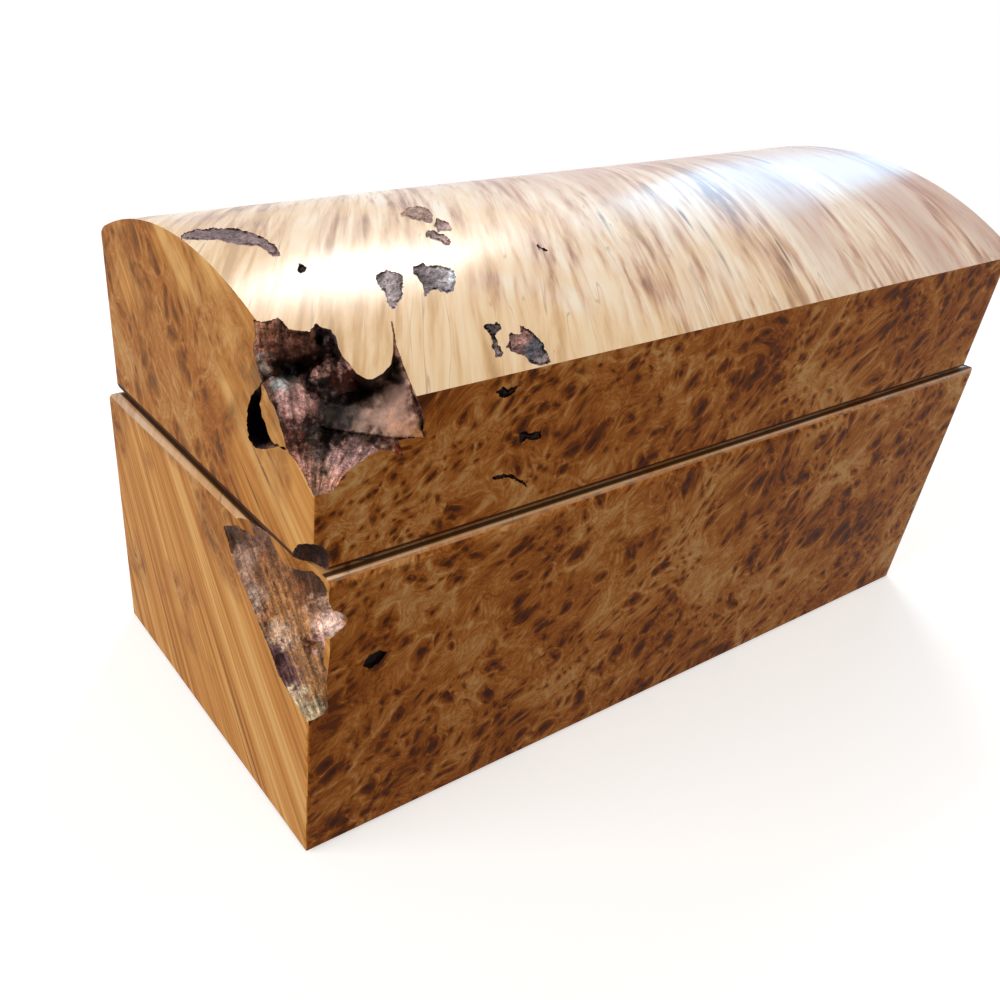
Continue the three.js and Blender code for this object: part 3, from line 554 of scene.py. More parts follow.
# What slants to the left front is bark too, apart from the foot of the arris below the gouge
for face in base_block.data.polygons:
    lowest = min(base_block.data.vertices[i].co.z for i in face.vertices)
    if face.normal.x < -0.15 and face.normal.y < -0.15 and 0.031 < lowest < 0.067:
        face.material_index = 1
finish_block(base_block, GOUGE_STAINS_AND_SHADING, GOUGE_RIDGES_FROM, GOUGE_RIDGES, SLOT, 0.95)
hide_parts("base_block")
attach(base_block, "base")


# Lid block: the same burl, cut from the same block, hollowed and domed, with the bark pocket in its left
# front corner. The hinges that it hangs on have their seats, grooves and pilot holes in its back.
POCKET = [
    (253, 319), (262.5, 321.7), (270.6, 320.5), (277.5, 316.9), (283, 322), (289, 329.3), (300, 330.5),
    (309.5, 331.5), (316, 322.7), (322.7, 327.9), (330, 329.3), (336, 336.7), (338.5, 348), (343, 357),
    (349, 363), (356.4, 373.3), (366.7, 379.2), (372.6, 379.2), (382.8, 373.3), (390.9, 364.5),
    (393.2, 351.3), (393.2, 336), (390.4, 321), (392.8, 321), (395.4, 336), (396.5, 345), (399.5, 353),
    (403.4, 364.5), (409.2, 379.2), (414.4, 390.9), (421, 407.1), (424, 420), (423.5, 429.1), (425, 437),
    (411, 438.5), (398, 440.5), (402, 449), (403, 457), (397, 454), (390, 450.5), (380, 450), (370, 455),
    (357, 464), (346, 472), (340, 480), (334, 491), (325, 494), (314, 496), (309, 487), (303, 473),
    (294, 459), (284, 446.5), (276, 447), (266, 449), (256, 448.5), (249, 440), (246.8, 425), (247.5, 408),
    (251, 396), (257, 389), (261.5, 382), (258, 369), (254.5, 358), (252.8, 348), (255.5, 335),
]
# Depths in mm past 150 mm from the camera: the valley at the bottom, the smooth shell with its crest at the
# right, the hole under the tongue and behind the knobs, and the torn shelf at the upper left
POCKET_DEPTHS = [
    (314, 494, 9.3), (308, 484, 9.6), (316, 485, 9.9), (327, 488, 9.9), (320, 470, 11.5), (303, 468, 10.6),
    (338, 474, 10.3), (320, 455, 14.3), (345, 455, 13.2), (294, 454, 12.6), (355, 462, 10.6),
    (372, 451, 11.6), (386, 447.5, 12.9), (300, 449, 16), (320, 443, 19), (345, 441, 18), (370, 440.5, 16),
    (388, 442, 14.2), (400, 450, 14.6), (424, 436.5, 15.8), (410, 436, 14.3), (395, 435, 13.0),
    (380, 433.5, 12.9), (365, 432, 13.6), (350, 430, 15), (335, 428, 18), (322, 425, 22), (400, 420, 13.6),
    (414, 427, 14.4), (385, 415, 15), (370, 411, 17), (350, 412, 20), (332, 412, 24), (400, 402, 13.4),
    (395, 385, 15.5), (401, 366, 12.8), (408, 384, 11.5), (411.5, 402, 11.3), (414.5, 418, 12.9),
    (397.5, 355, 13.8), (395.5, 347, 14.6), (405.5, 374, 14), (412, 391, 13.2), (417.5, 404, 13.6),
    (420.5, 416, 14.8), (421.5, 428, 15.8), (350, 385, 27), (365, 391, 27), (380, 386, 25),
    (388, 377, 22), (392, 366, 19), (341, 372, 25), (345, 396, 25), (365, 401, 22), (383, 398, 18),
    (300, 367, 30), (285, 370, 29), (320, 363, 26), (330, 353, 17), (326, 340, 13), (333, 344, 14.5),
    (319, 340, 22), (262, 327, 9), (275, 325, 10), (285, 332, 10.6), (262, 340, 10.4), (275, 338, 11.2),
    (290, 340, 11.8), (305, 338, 12.2), (312, 334, 12.4), (262, 352, 12), (275, 350, 13.4),
    (290, 350, 14.6), (304, 348, 15), (313, 342, 14.6), (258, 359, 13), (273, 357, 15.4), (288, 357, 17),
    (299, 354, 17), (276, 366, 24), (263, 368, 13.6), (269, 369, 15), (254, 402, 30), (252, 415, 34),
    (254, 430, 36), (259, 440, 36), (266, 444, 32), (259, 392, 26), (290, 400, 30), (300, 420, 28),
    (290, 440, 24), (310, 400, 28), (315, 420, 25), (280, 385, 28), (308, 433, 20), (318, 435, 20),
]
# The smooth inner shell of the pocket, to the right
SHELL = [
    (324, 404), (350, 404), (388, 384), (395.5, 345), (404, 365), (411, 384), (416, 410), (424, 437),
    (395, 438), (350, 432), (324, 428),
]
# Bark that the dome was sanded through, nearly flush, then two pins and a crack in the lid's front
INCLUSIONS = [
    [(172, 239), (196, 229), (220, 228), (231, 228), (247, 231), (263, 237.6), (274.4, 244.4), (279, 251),
     (281, 255.7), (271, 255.7), (265, 250), (256, 246), (242.7, 245.5), (229, 243), (220, 240), (198, 240)],
    [(298.2, 261), (302.7, 264.8), (306.6, 268.2), (305, 273.4), (298.2, 273.9), (297, 269.3), (299.3, 266)],
    [(376.4, 274), (386.6, 270), (399, 272), (403.5, 277), (403, 286), (401.3, 299), (394.5, 308),
     (391, 309), (387.7, 301), (383.2, 290), (376.4, 284)],
    [(412.2, 267), (419.5, 264), (433, 265.5), (443.3, 265.5), (453.5, 270.5), (456, 277.3), (454.6, 285.2),
     (453.5, 291), (446.7, 294), (438.7, 290), (432, 290), (425, 297.7), (424, 290), (419.5, 281),
     (413.8, 274)],
    [(400.9, 213.8), (408, 208), (417.2, 205.9), (426.3, 208), (433, 213.8), (433.5, 219.5), (429.7, 223),
     (419.5, 220.6), (410.4, 218.3), (402.5, 216.7)],
    [(436.5, 218.3), (446.7, 221.7), (452.3, 228.5), (451.2, 232), (443.3, 231), (437.6, 232), (434.2, 225)],
    [(425, 230.8), (435.3, 230.8), (446.7, 236.5), (451.2, 241), (450, 245.5), (444.4, 245.5), (435.3, 240),
     (426.3, 236.5)],
    [(481.8, 326), (489.7, 322.6), (500, 323.7), (501, 329.4), (495.4, 335), (500, 346.4), (503.8, 353.2),
     (501, 358.2), (495.4, 356.6), (493, 346.4), (491, 337.3), (487.5, 330.5)],
    [(509, 332.8), (521.5, 334), (519.2, 325), (530.5, 330.5), (542, 342), (547.5, 355.5), (551, 362),
     (542, 366), (531.7, 363.4), (525, 356.6), (506.7, 348.7), (509, 342)],
    [(536.9, 245), (543, 247.8), (549, 250.7), (546.4, 251.7), (539.6, 249.4)],
    [(517, 436), (524, 430), (531, 433), (541, 431), (542, 438), (534, 440), (527, 440), (520, 442)],
    [(497, 392), (503, 386), (509, 389), (517, 386), (515, 393), (507, 398), (500, 396)],
    [(492, 477), (505, 474), (513, 475), (525, 483), (526, 487), (514, 479), (504, 478), (493, 480)],
]
# The bark's stains, with painted shade and highlights among them: across, down, how far each one reaches, and
# its colour. The near-black rows are painted shade in the holes under the tongue, behind the knobs and at the
# left, under the shell's crest and in the heel's notch. The grey one on the shell's upper left is the
# tongue's painted shadow, and the palest rows on the knobs and along the crest and the blue-white one on an
# inclusion are painted highlights.
LID_STAINS_AND_SHADING = [
    (285, 337, 18, "a47260"), (263, 328, 8, "b07c60"), (287, 358, 11, "2a1410"), (302, 371, 15, "040202"),
    (334, 350, 9, "1c1210"), (326, 337, 8, "6c5c58"), (262, 368, 6, "c4b4ac"), (287, 381, 8, "98a0a0"),
    (298, 402, 12, "d0a09a"), (290, 432, 10, "5e362c"), (309, 426, 7, "24100e"), (321, 366, 6, "d49e90"),
    (350, 381, 12, "4a2218"), (362, 392, 17, "040201"), (388, 375, 9, "1a100c"), (342, 414, 13, "78706e"),
    (372, 418, 14, "c8a494"), (398, 398, 15, "bc9686"), (415, 402, 7, "4a1c12"), (400, 428, 9, "d4a288"),
    (418, 435, 5, "d8a074"), (372, 438, 7, "3a1a14"), (340, 434, 7, "241612"), (322, 440, 8, "120a08"),
    (303, 442, 6, "1a0f0c"), (348, 424, 6, "1c1412"), (302, 386, 7, "e0b8b0"), (346, 368, 5, "e0a8a0"),
    (300, 460, 12, "d8a294"), (318, 458, 9, "6e625e"), (352, 459, 14, "d0a49e"), (312, 437, 6, "6c6866"),
    (318, 486, 13, "cc9c88"), (401, 451, 5, "7a3a28"), (305, 545, 16, "2e1810"), (255, 420, 13, "0c0604"),
    (256, 442, 4, "4a4040"), (226, 235, 30, "8a7678"), (321, 388, 8, "0a0403"), (301, 269, 8, "4a3a3a"),
    (389, 285, 14, "b0a4a8"), (430, 278, 12, "aea2a6"), (448, 276, 8, "c8cad4"), (417, 213, 14, "a88c80"),
    (444, 226, 8, "a88e8a"), (440, 239, 9, "b09894"), (493, 340, 14, "8a7a7c"), (516, 342, 9, "95706a"),
    (536, 350, 9, "60606a"), (547, 360, 7, "806c68"), (543, 249, 8, "3a2a2a"), (507, 392, 9, "1c0e0a"),
    (530, 436, 9, "1c0e0a"), (508, 479, 12, "1c0e0a"),
]
POCKET_RIDGES_FROM = (313, 520)

HINGE_X = 65.0
PIN_AT = (45.7, 70.4)
SCREW_Y, SCREW_PITCH = 40.9, 10
LID_FRONT_TOP = 100.8
LID_FOOT = 70.8
BACK_ROUNDING, BEND_Y = 7, 40.9


def arc(y, z, radius, start, end, steps):
    """Points along an arc, its angles in degrees."""
    turns = [math.radians(start + (end - start) * i / steps) for i in range(steps + 1)]
    return [(y + radius * math.cos(a), z + radius * math.sin(a)) for a in turns]


def raised(bm, faces, by):
    """Extrudes faces, moves them by X, Y and Z, and returns the corners that moved."""
    grown = bmesh.ops.extrude_face_region(bm, geom=faces, use_keep_orig=True)["geom"]
    moved = [v for v in grown if isinstance(v, bmesh.types.BMVert)]
    bmesh.ops.translate(bm, vec=by, verts=moved)
    return moved


def prism(name, points, axis, low, high):
    """A solid of one outline, drawn in the plane across an axis, between two places along the axis, in mm."""
    bm = bmesh.new()
    for point in points:
        place = [p / 1000 for p in point]
        place.insert("XYZ".index(axis), low / 1000)
        bm.verts.new(place)
    face = bmesh.ops.contextual_create(bm, geom=bm.verts[:])["faces"]
    raised(bm, face, [(high - low) / 1000 if a == axis else 0 for a in "XYZ"])
    bmesh.ops.recalc_face_normals(bm, faces=bm.faces)
    return new_object(name, bm, [burl])


def rectangle(x, y, radii, steps=6):
    """A rectangle of half sizes x and y with rounded corners, from the front left one anticlockwise."""
    corners = ((-1, -1, 180), (1, -1, 270), (1, 1, 0), (-1, 1, 90))
    points = []
    for (i, j, turn), r in zip(corners, radii):
        points += arc(i * (x - r), j * (y - r), r, turn, turn + 90, steps)
    return points


def rough_lump(name, at, radii, tilt=0.0, rough=0.08, phase=0.0, fine=7, ridge=0.5):
    """A closed lump of bark in mm: an ellipsoid whose surface rises and falls in waves, then roughened."""
    bm = bmesh.new()
    bmesh.ops.create_icosphere(bm, subdivisions=fine, radius=1)
    shape = Matrix.Translation(at) @ Matrix.Rotation(tilt, 4, "X") @ Matrix.Diagonal((*radii, 1))
    for v in bm.verts:
        n = v.co.normalized()
        waves = (
            math.sin(5 * n.x + 2.3 * n.z + phase)
            + math.sin(6 * n.y - 3.1 * n.x + 1.7 * phase)
            + math.sin(7 * n.z + 2.9 * n.y + 2.6 * phase)
        )
        p = shape @ (n * (1 + rough * waves / 2))
        out = (p - Vector(at)).normalized()
        grain_at = Vector((p.x, p.y * 0.55, p.z)) / 2.6
        p += out * (0.3 + ridge * noise.fractal(grain_at, 0.9, 2.1, 5, noise_basis="PERLIN_NEW"))
        v.co = p / 1000
    return new_object(name, bm, [bark])


# The side outline: small rounding at the front foot, the back's rounding, and the dome back to the front
spring = math.degrees(math.atan2(LID_FRONT_TOP - DOME_AXIS[1], -LID_HALF_DEPTH - DOME_AXIS[0]))
bend_z = DOME_AXIS[1] + math.sqrt((DOME_RADIUS - BACK_ROUNDING) ** 2 - (BEND_Y - DOME_AXIS[0]) ** 2)
bend = math.degrees(math.atan2(bend_z - DOME_AXIS[1], BEND_Y - DOME_AXIS[0]))
side_outline = [
    *arc(-47.1, 71.6, 0.8, 180, 270, 4),
    *arc(44.9, 73.8, 3, -90, 0, 8),
    *arc(BEND_Y, bend_z, BACK_ROUNDING, 0, bend, 12),
    *arc(*DOME_AXIS, DOME_RADIUS, bend, spring, 64)[1:],
]
lid_block = prism("burl_lid", side_outline, "X", -120, 120)
plan = rectangle(LID_HALF_LENGTH, LID_HALF_DEPTH, (0.8, 5, 5, 1.8))
carve(lid_block, [prism("plan", plan, "Z", 60, 130)], "INTERSECT")
cutters = [prism("hollow", rectangle(96, 37.2, (6, 6, 6, 6)), "Z", 60, 86.3)]
for x in (-HINGE_X, HINGE_X):
    seat = [(x - 15.3, 38.0), (x + 15.3, 38.0), (x + 15.3, PIN_AT[0]), (x - 15.3, PIN_AT[0])]
    cutters.append(prism("seat", seat, "Z", 69, 72.7))
    cutters.append(prism("groove", arc(*PIN_AT, 2.5, 0, 342, 19), "X", x - 16.7, x + 16.7))
    for screw_x in (x - SCREW_PITCH, x, x + SCREW_PITCH):
        cutters.append(prism("pilot", arc(screw_x, SCREW_Y, 1.1, 0, 330, 11), "Z", 72, 80.1))
carve(lid_block, cutters, "DIFFERENCE")
skin = skin_of(lid_block)


def pocket_depth(at, deep):
    """The pocket's sampled floor: its shell smooth with a raised lip, its valley ridged, the rest torn."""
    inside = inset(at, POCKET)
    floor = 150 + blend(at, POCKET_DEPTHS, soft=1.5)
    shell = inset(at, SHELL)
    smooth = np.clip(shell / 3, 0, 1)
    floor += np.where((shell < 0) & (at[:, 1] > 426), 2.6 * np.exp(shell / 4), 0)
    floor -= 0.8 * np.exp(-((shell - 2) ** 2) / 6)
    low = np.clip((at[:, 1] - 436) / 10, 0, 1) * (1 - smooth)
    high = np.clip((375 - at[:, 1]) / 15, 0, 1)
    torn = np.clip(inside / 4, 0.1, 1)
    rough = 0.8 * low * fan(at, POCKET_RIDGES_FROM, 9, 4.0) + 0.16 * smooth * fan(at, (432, 440), 9, 5.0)
    rough += (0.5 - 0.4 * smooth) * crag(at, 6, seed=6.0) + 0.8 * high * crag(at, 4, 3.0, seed=7.0)
    ragged = np.where((at[:, 0] > 335) & (at[:, 1] < 400), 0.15, 0.9) * crag(at, 4, seed=8.0)
    return np.minimum(np.maximum(floor + rough * torn - deep, 0.12), (inside + ragged) * 1.5)


def inclusion_depth(outline):
    """Nearly flush bark with a groove round it, deep in some places and missing in others."""

    def depth(at, deep):
        inside = inset(at, outline) + 1.8 * crag(at, 5, seed=9.0)
        groove = np.clip(0.2 + 2.5 * crag(at, 9, seed=16.0), 0, 1)
        floor = 0.4 + 0.5 * crag(at, 5, seed=10.0) + groove * np.clip(1 - np.abs(inside - 1.4) / 1.6, 0, 1)
        return np.minimum(np.maximum(floor, 0.15), inside)

    return depth


cutters = [relief("pocket", skin, (240, 310, 432, 504), CUTTER_STEP, pocket_depth)]
for i, outline in enumerate(INCLUSIONS):
    across, down = zip(*outline)
    window = (min(across) - 4, min(down) - 4, max(across) + 4, max(down) + 4)
    if i == 0:  # it stops short of the dome's left arris
        window = (181, 224, 285, 260)
    cutters.append(relief(f"inclusion_{i}", skin, window, CUTTER_STEP * 0.7, inclusion_depth(outline)))
heel_at = Vector((-LID_HALF_LENGTH - 2.8, -LID_HALF_DEPTH - 2, LID_FOOT))
cutters.append(rough_lump("heel", heel_at, (6.0, 10, 7.5), rough=0.06, phase=1.5))
carve(lid_block, cutters, "DIFFERENCE")

# Bark knobs left standing in the pocket; the first was sawn off flush with the lid's end
knobs = [
    rough_lump("knob_sawn", (-102.7, -33.2, 94.9), (5.6, 3.5, 5.9), -0.72, 0.12, 0.9, ridge=0.6),
    rough_lump("knob_deep", (-93.2, -32.4, 99.6), (3.7, 3.4, 2.8), 0.0, 0.16, 5.1, fine=6),
]
for knob in knobs:
    knob.data.materials.append(burl)
    bm = bmesh.new()
    bm.from_mesh(knob.data)
    everything = [*bm.verts, *bm.edges, *bm.faces]
    end = {"plane_co": (-LID_HALF_LENGTH / 1000, 0, 0), "plane_no": (-1, 0, 0), "clear_outer": True}
    cut = bmesh.ops.bisect_plane(bm, geom=everything, dist=1e-7, **end)["geom_cut"]
    edge = [e for e in cut if isinstance(e, bmesh.types.BMEdge)]
    for face in bmesh.ops.holes_fill(bm, edges=edge)["faces"] if edge else []:
        face.material_index = 1
    bm.to_mesh(knob.data)
    bm.free()
carve(lid_block, knobs, "UNION")
finish_block(lid_block, LID_STAINS_AND_SHADING, POCKET_RIDGES_FROM, 14, SHELL, 1.0)
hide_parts("lid_block")
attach(lid_block, "lid")


# Hinges: two butts of drawn brass, let into the back of the base and lid and held with slotted brass screws.
# Drawing leaves fine lines along the leaves, and the brass has dulled a little between them.
def brass(name, line_lengths, roughness):
    """Worked brass, with tool lines of these lengths in mm, and dulled in patches of 4 mm."""
    metal, tree, shader = new_material(name)
    at = in_mm(tree)
    lines = add(tree, "VectorMath", (at, [1 / length for length in line_lengths]), operation="MULTIPLY")
    lines = add(tree, "TexNoise", {"Vector": lines, "Scale": 1.0, "Detail": 3.0})
    dulled = add(tree, "TexNoise", {"Vector": at, "Scale": 1 / 4, "Detail": 4.0})
    patches = add(tree, "MapRange", (dulled, 0.4, 0.65), **EASED)
    color = add(tree, "Mix", {0: patches, 6: "cfae68", 7: "9c7738"}, 2, data_type="RGBA")
    rough = add(tree, "Math", (dulled, 0.2, roughness - 0.1), operation="MULTIPLY_ADD")
    bump = add(tree, "Bump", {"Height": lines, "Strength": 0.5, "Distance": 0.00003})
    wire(shader, {"Base Color": color, "Metallic": 1.0, "Roughness": rough, "Normal": bump})
    return metal


def dress(material, names):
    """Gives CAD pieces whose shape is right their finish."""
    for name in names:
        for held in nodes[name].material_slots:
            held.material = material


hinge_pieces = [name for name in nodes if name.startswith("hinge_")]
leaves = [name for name in hinge_pieces if name.endswith("_leaf")]
dress(brass("brass_drawn", (9.0, 0.25, 0.25), 0.34), leaves)
dress(brass("brass_turned", (1.5, 0.4, 0.4), 0.26), [name for name in hinge_pieces if name not in leaves])


# Leather dots: two discs punched from vegetable-tanned leather and glued to the front rim, so that the lid
# closes softly. The grain side is up, pebbled in cells of 0.6 mm, and the cut edge is rounded by wear.
leather, tree, shader = new_material("leather_vegetable_tanned")
at = in_mm(tree)
pebble = add(tree, "TexVoronoi", {"Vector": at, "Scale": 1 / 0.6}, feature="DISTANCE_TO_EDGE")
pebble = add(tree, "MapRange", (pebble, 0.0, 0.2), **EASED)
worn = add(tree, "TexNoise", {"Vector": at, "Scale": 1 / 3, "Detail": 4.0})
worn = add(tree, "MapRange", (worn, 0.4, 0.65), **EASED)
color = add(tree, "Mix", {0: worn, 6: "3c2616", 7: "583a22"}, 2, data_type="RGBA")
bump = add(tree, "Bump", {"Height": pebble, "Strength": 0.6, "Distance": 0.00006})
wire(shader, {"Base Color": color, "Normal": bump, "Roughness": 0.55})


def new_piece(name, bm, materials, replaced, body):
    """Turns a bmesh in mm into a piece that stands for a CAD node and rides on its body."""
    bmesh.ops.scale(bm, vec=(0.001, 0.001, 0.001), verts=bm.verts)
    face_outwards(bm)
    piece = new_object(name, bm, materials)
    piece.data.shade_smooth()
    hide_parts(replaced)
    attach(piece, body)
    return piece


def box_mm(node):
    low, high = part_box(node)
    return Vector(low) * 1000, Vector(high) * 1000


def soften_rims(bm, by, segments):
    """Rounds the level edges of an upright slice."""
    rims = [e for e in bm.edges if abs(e.verts[0].co.z - e.verts[1].co.z) < 1e-6]
    bmesh.ops.bevel(bm, geom=rims, offset=by, segments=segments, profile=0.5, affect="EDGES", material=-1)


for side in ("left", "right"):
    low, high = box_mm(f"lid_bumper_{side}")
    middle = (low + high) / 2
    bm = bmesh.new()
    bmesh.ops.create_circle(bm, cap_ends=True, segments=48, radius=(high.x - low.x) / 2)
    bmesh.ops.translate(bm, vec=(middle.x, middle.y, low.z), verts=bm.verts)
    raised(bm, bm.faces[:], (0, 0, high.z - low.z))
    soften_rims(bm, 0.18, 3)
    dot = new_piece(f"leather_dot_{side}", bm, [leather], f"lid_bumper_{side}", "base")


# Felt: a sheet of pressed wool felt, glued into a recess under the base. It has no weave: short fibres lie
# every way, so it is matt, with a faint paler fuzz and cut edges that have softened.
felt, tree, shader = new_material("wool_felt_pressed")
fibres = {"Vector": in_mm(tree), "Scale": 1 / 0.5, "Detail": 6.0, "Distortion": 2.0}
fibres = add(tree, "TexNoise", fibres)
fuzz = add(tree, "MapRange", (fibres, 0.35, 0.7), **EASED)
color = add(tree, "Mix", {0: fuzz, 6: "191614", 7: "3a3531"}, 2, data_type="RGBA")
bump = add(tree, "Bump", {"Height": fibres, "Strength": 0.7, "Distance": 0.0001})
wire(shader, {"Base Color": color, "Normal": bump, "Roughness": 0.95, "Sheen Weight": 0.4})

FELT_CORNER = 5.0
low, high = box_mm("base_felt")
bm = bmesh.new()
for x, y in rectangle(high.x, high.y, (FELT_CORNER,) * 4, 8):
    bm.verts.new((x, y, low.z))
raised(bm, bmesh.ops.contextual_create(bm, geom=bm.verts[:])["faces"], (0, 0, high.z - low.z))
soften_rims(bm, 0.3, 2)
sheet = new_piece("felt_sheet", bm, [felt], "base_felt", "base")


# Lining of the walls: one strip of brushed suede, 57 mm wide, glued round the hollow with its upper edge
# turned under. Suede's nap is soft and dull, and lies in paler and darker strokes 10 to 20 mm long.
suede, tree, shader = new_material("suede_brushed")
at = in_mm(tree)
nap = add(tree, "TexNoise", {"Vector": at, "Scale": 1 / 0.35, "Detail": 4.0, "Roughness": 0.7})
strokes = add(tree, "VectorMath", (at, (1 / 16, 1 / 7, 1 / 9)), operation="MULTIPLY")
strokes = add(tree, "TexNoise", {"Vector": strokes, "Scale": 1.0, "Detail": 3.0, "Distortion": 0.8})
strokes = add(tree, "MapRange", (strokes, 0.38, 0.64), **EASED)
pale_nap = add(tree, "MapRange", (nap, 0.45, 0.7, 0.0, 0.5), **EASED)
color = add(tree, "Mix", {0: strokes, 6: "3a2017", 7: "573427"}, 2, data_type="RGBA")
color = add(tree, "Mix", {0: pale_nap, 6: color, 7: "7a5442"}, 2, data_type="RGBA")
bump = add(tree, "Bump", {"Height": nap, "Strength": 0.6, "Distance": 0.0001})
wire(shader, {"Base Color": color, "Normal": bump, "Roughness": 0.9, "Specular IOR Level": 0.2})
wire(shader, {"Sheen Weight": 0.5, "Sheen Roughness": 0.4})

BAND_CORNER, BAND_HEM, BAND_THICKNESS = 5.7, 1.6, 0.85
low, high = box_mm("base_lining_band")
outer = rectangle(high.x, high.y, (BAND_CORNER,) * 4, 8)
bm = bmesh.new()
for x, y in outer:
    bm.verts.new((x, y, low.z))
ring = bm.verts[:]
rim = [bm.edges.new(pair) for pair in zip(ring, ring[1:] + ring[:1])]
for top in (high.z - BAND_HEM, high.z):
    grown = bmesh.ops.extrude_edge_only(bm, edges=rim)["geom"]
    rim = [e for e in grown if isinstance(e, bmesh.types.BMEdge) and all(v in grown for v in e.verts)]
    for v in {v for e in rim for v in e.verts}:
        v.co.z = top
bmesh.ops.recalc_face_normals(bm, faces=bm.faces)
if bm.faces[0].normal.dot(bm.faces[0].calc_center_median()) >= 0:
    bmesh.ops.reverse_faces(bm, faces=bm.faces)
bmesh.ops.solidify(bm, geom=bm.faces[:], thickness=BAND_THICKNESS)
band = new_piece("suede_wall_strip", bm, [suede], "base_lining_band", "base")


# Padded panels: suede over a slip of foam on card, glued to the floor, the lid's ceiling and into the tray.
# The suede is drawn over the edges, so they round off, and a row of linen stitches runs round inside them.
thread, tree, shader = new_material("linen_thread")
twist = add(tree, "TexNoise", {"Vector": in_mm(tree), "Scale": 1 / 0.3, "Detail": 2.0})
twist = add(tree, "MapRange", (twist, 0.4, 0.6), **EASED)
color = add(tree, "Mix", {0: twist, 6: "8d6a4a", 7: "b8946c"}, 2, data_type="RGBA")
wire(shader, {"Base Color": color, "Roughness": 0.8})

PRESSURE = 4.0
SIMULATED_FRAMES = 20


def filled(piece, is_glued):
    """Fills a closed cover by cloth simulation, its glued side held, and returns where its corners went."""
    glued = piece.vertex_groups.new(name="glued")
    glued.add([v.index for v in piece.data.vertices if is_glued(v.co * 1000)], 1.0, "REPLACE")
    cloth = piece.modifiers.new("cloth", "CLOTH")
    cloth.settings.use_pressure = True
    cloth.settings.uniform_pressure_force = PRESSURE
    cloth.settings.vertex_group_mass = "glued"
    cloth.settings.effector_weights.gravity = 0
    for frame_number in range(1, SIMULATED_FRAMES + 1):
        scene.frame_set(frame_number)
    held = piece.evaluated_get(bpy.context.evaluated_depsgraph_get())
    places = [v.co.copy() for v in held.data.vertices]
    piece.modifiers.clear()
    piece.vertex_groups.clear()
    scene.frame_set(1)
    return places


def rounded(x, y, half, corner):
    """A place in a rectangle, moved so that the rectangle's corners are round."""
    u, v = abs(x) - (half.x - corner), abs(y) - (half.y - corner)
    if u > 0 and v > 0:
        share = max(u, v) / math.hypot(u, v)
        x = math.copysign(half.x - corner + u * share, x)
        y = math.copysign(half.y - corner + v * share, y)
    return x, y


SLACK_CROWN, FULL_CROWN = 0.62, 0.94
DRAWN_IN = 0.35
WALL_GAP = 0.05


def padded_panel(name, node, body, corner, crown_up=1, cell=3.0, stitched=True):
    """A panel in a CAD pad's space: flat and glued on one side, crowned on the other."""
    low, high = box_mm(node)
    half, middle = (high - low) / 2, (high + low) / 2
    thick = high.z - low.z
    back, face = (low.z, high.z) if crown_up > 0 else (high.z, low.z)
    bm = bmesh.new()
    count = [max(4, round(2 * h / cell)) for h in (half.x, half.y)]
    bmesh.ops.create_grid(bm, x_segments=count[0], y_segments=count[1], size=1)
    for v in bm.verts:
        v.co.x, v.co.y = rounded(v.co.x * half.x, v.co.y * half.y, half, corner)
        v.co.z = 0
    for v in raised(bm, bm.faces[:], (0, 0, crown_up)):
        edge = min(half.x - abs(v.co.x), half.y - abs(v.co.y))
        share = min(1.0, 0.35 + 0.65 * math.sqrt(max(edge, 0) / 6))
        v.co.z = crown_up * thick * SLACK_CROWN * share
        if edge < 0.01:
            v.co.x -= math.copysign(DRAWN_IN, v.co.x) * (abs(v.co.x) > half.x - 0.01)
            v.co.y -= math.copysign(DRAWN_IN, v.co.y) * (abs(v.co.y) > half.y - 0.01)
    bmesh.ops.translate(bm, vec=(middle.x, middle.y, back), verts=bm.verts)
    panel = new_piece(name, bm, [suede, thread], node, body)
    places = filled(panel, lambda p: abs(p.z - back) < 0.01)
    rise = max(crown_up * (p.z - v.co.z) for p, v in zip(places, panel.data.vertices)) * 1000
    share = min(1.0, thick * (FULL_CROWN - SLACK_CROWN) / max(rise, 1e-6))
    for p, v in zip(places, panel.data.vertices):
        moved = v.co + (p - v.co) * share
        limits = zip(moved[:2], low, high)
        x, y = (min(max(m * 1000, a + WALL_GAP), b - WALL_GAP) / 1000 for m, a, b in limits)
        v.co = (x, y, moved.z)
    finer = panel.modifiers.new("finer", "SUBSURF")
    finer.levels = finer.render_levels = 1
    keep_modified(panel)
    if stitched:
        sew(panel, half, middle, corner, crown_up, face)


STITCH_INSET, STITCH_PITCH, STITCH_LENGTH = 2.6, 3.2, 2.2
STITCH_STEP = 0.4


def sew(panel, half, middle, corner, crown_up, face):
    """Adds stitches round a panel, half sunk in its crowned side."""
    skin = skin_of(panel)
    bm = bmesh.new()
    bm.from_mesh(panel.data)
    radii = (max(corner - STITCH_INSET, 1.0),) * 4
    line = walk(rectangle(half.x - STITCH_INSET, half.y - STITCH_INSET, radii, 3), STITCH_STEP)
    line = line[:: round(STITCH_PITCH / STITCH_STEP)]
    for p, q in zip(line, np.roll(line, -1, 0)):
        above = Vector(((p[0] + middle.x) / 1000, (p[1] + middle.y) / 1000, face / 1000 + 0.002 * crown_up))
        hit = skin.ray_cast(above, Vector((0, 0, -crown_up)))[0]
        if hit is None:
            continue
        turn = Matrix.Rotation(math.atan2(q[1] - p[1], q[0] - p[0]), 4, "Z")
        shape = Matrix.Translation(hit) @ turn @ Matrix.Diagonal((1.0, 0.22, 0.16, 1))
        radius = STITCH_LENGTH / 2000
        made = bmesh.ops.create_icosphere(bm, subdivisions=1, radius=radius, matrix=shape)["verts"]
        for f in {f for v in made for f in v.link_faces}:
            f.material_index = 1
            f.smooth = True
    bm.to_mesh(panel.data)
    bm.free()


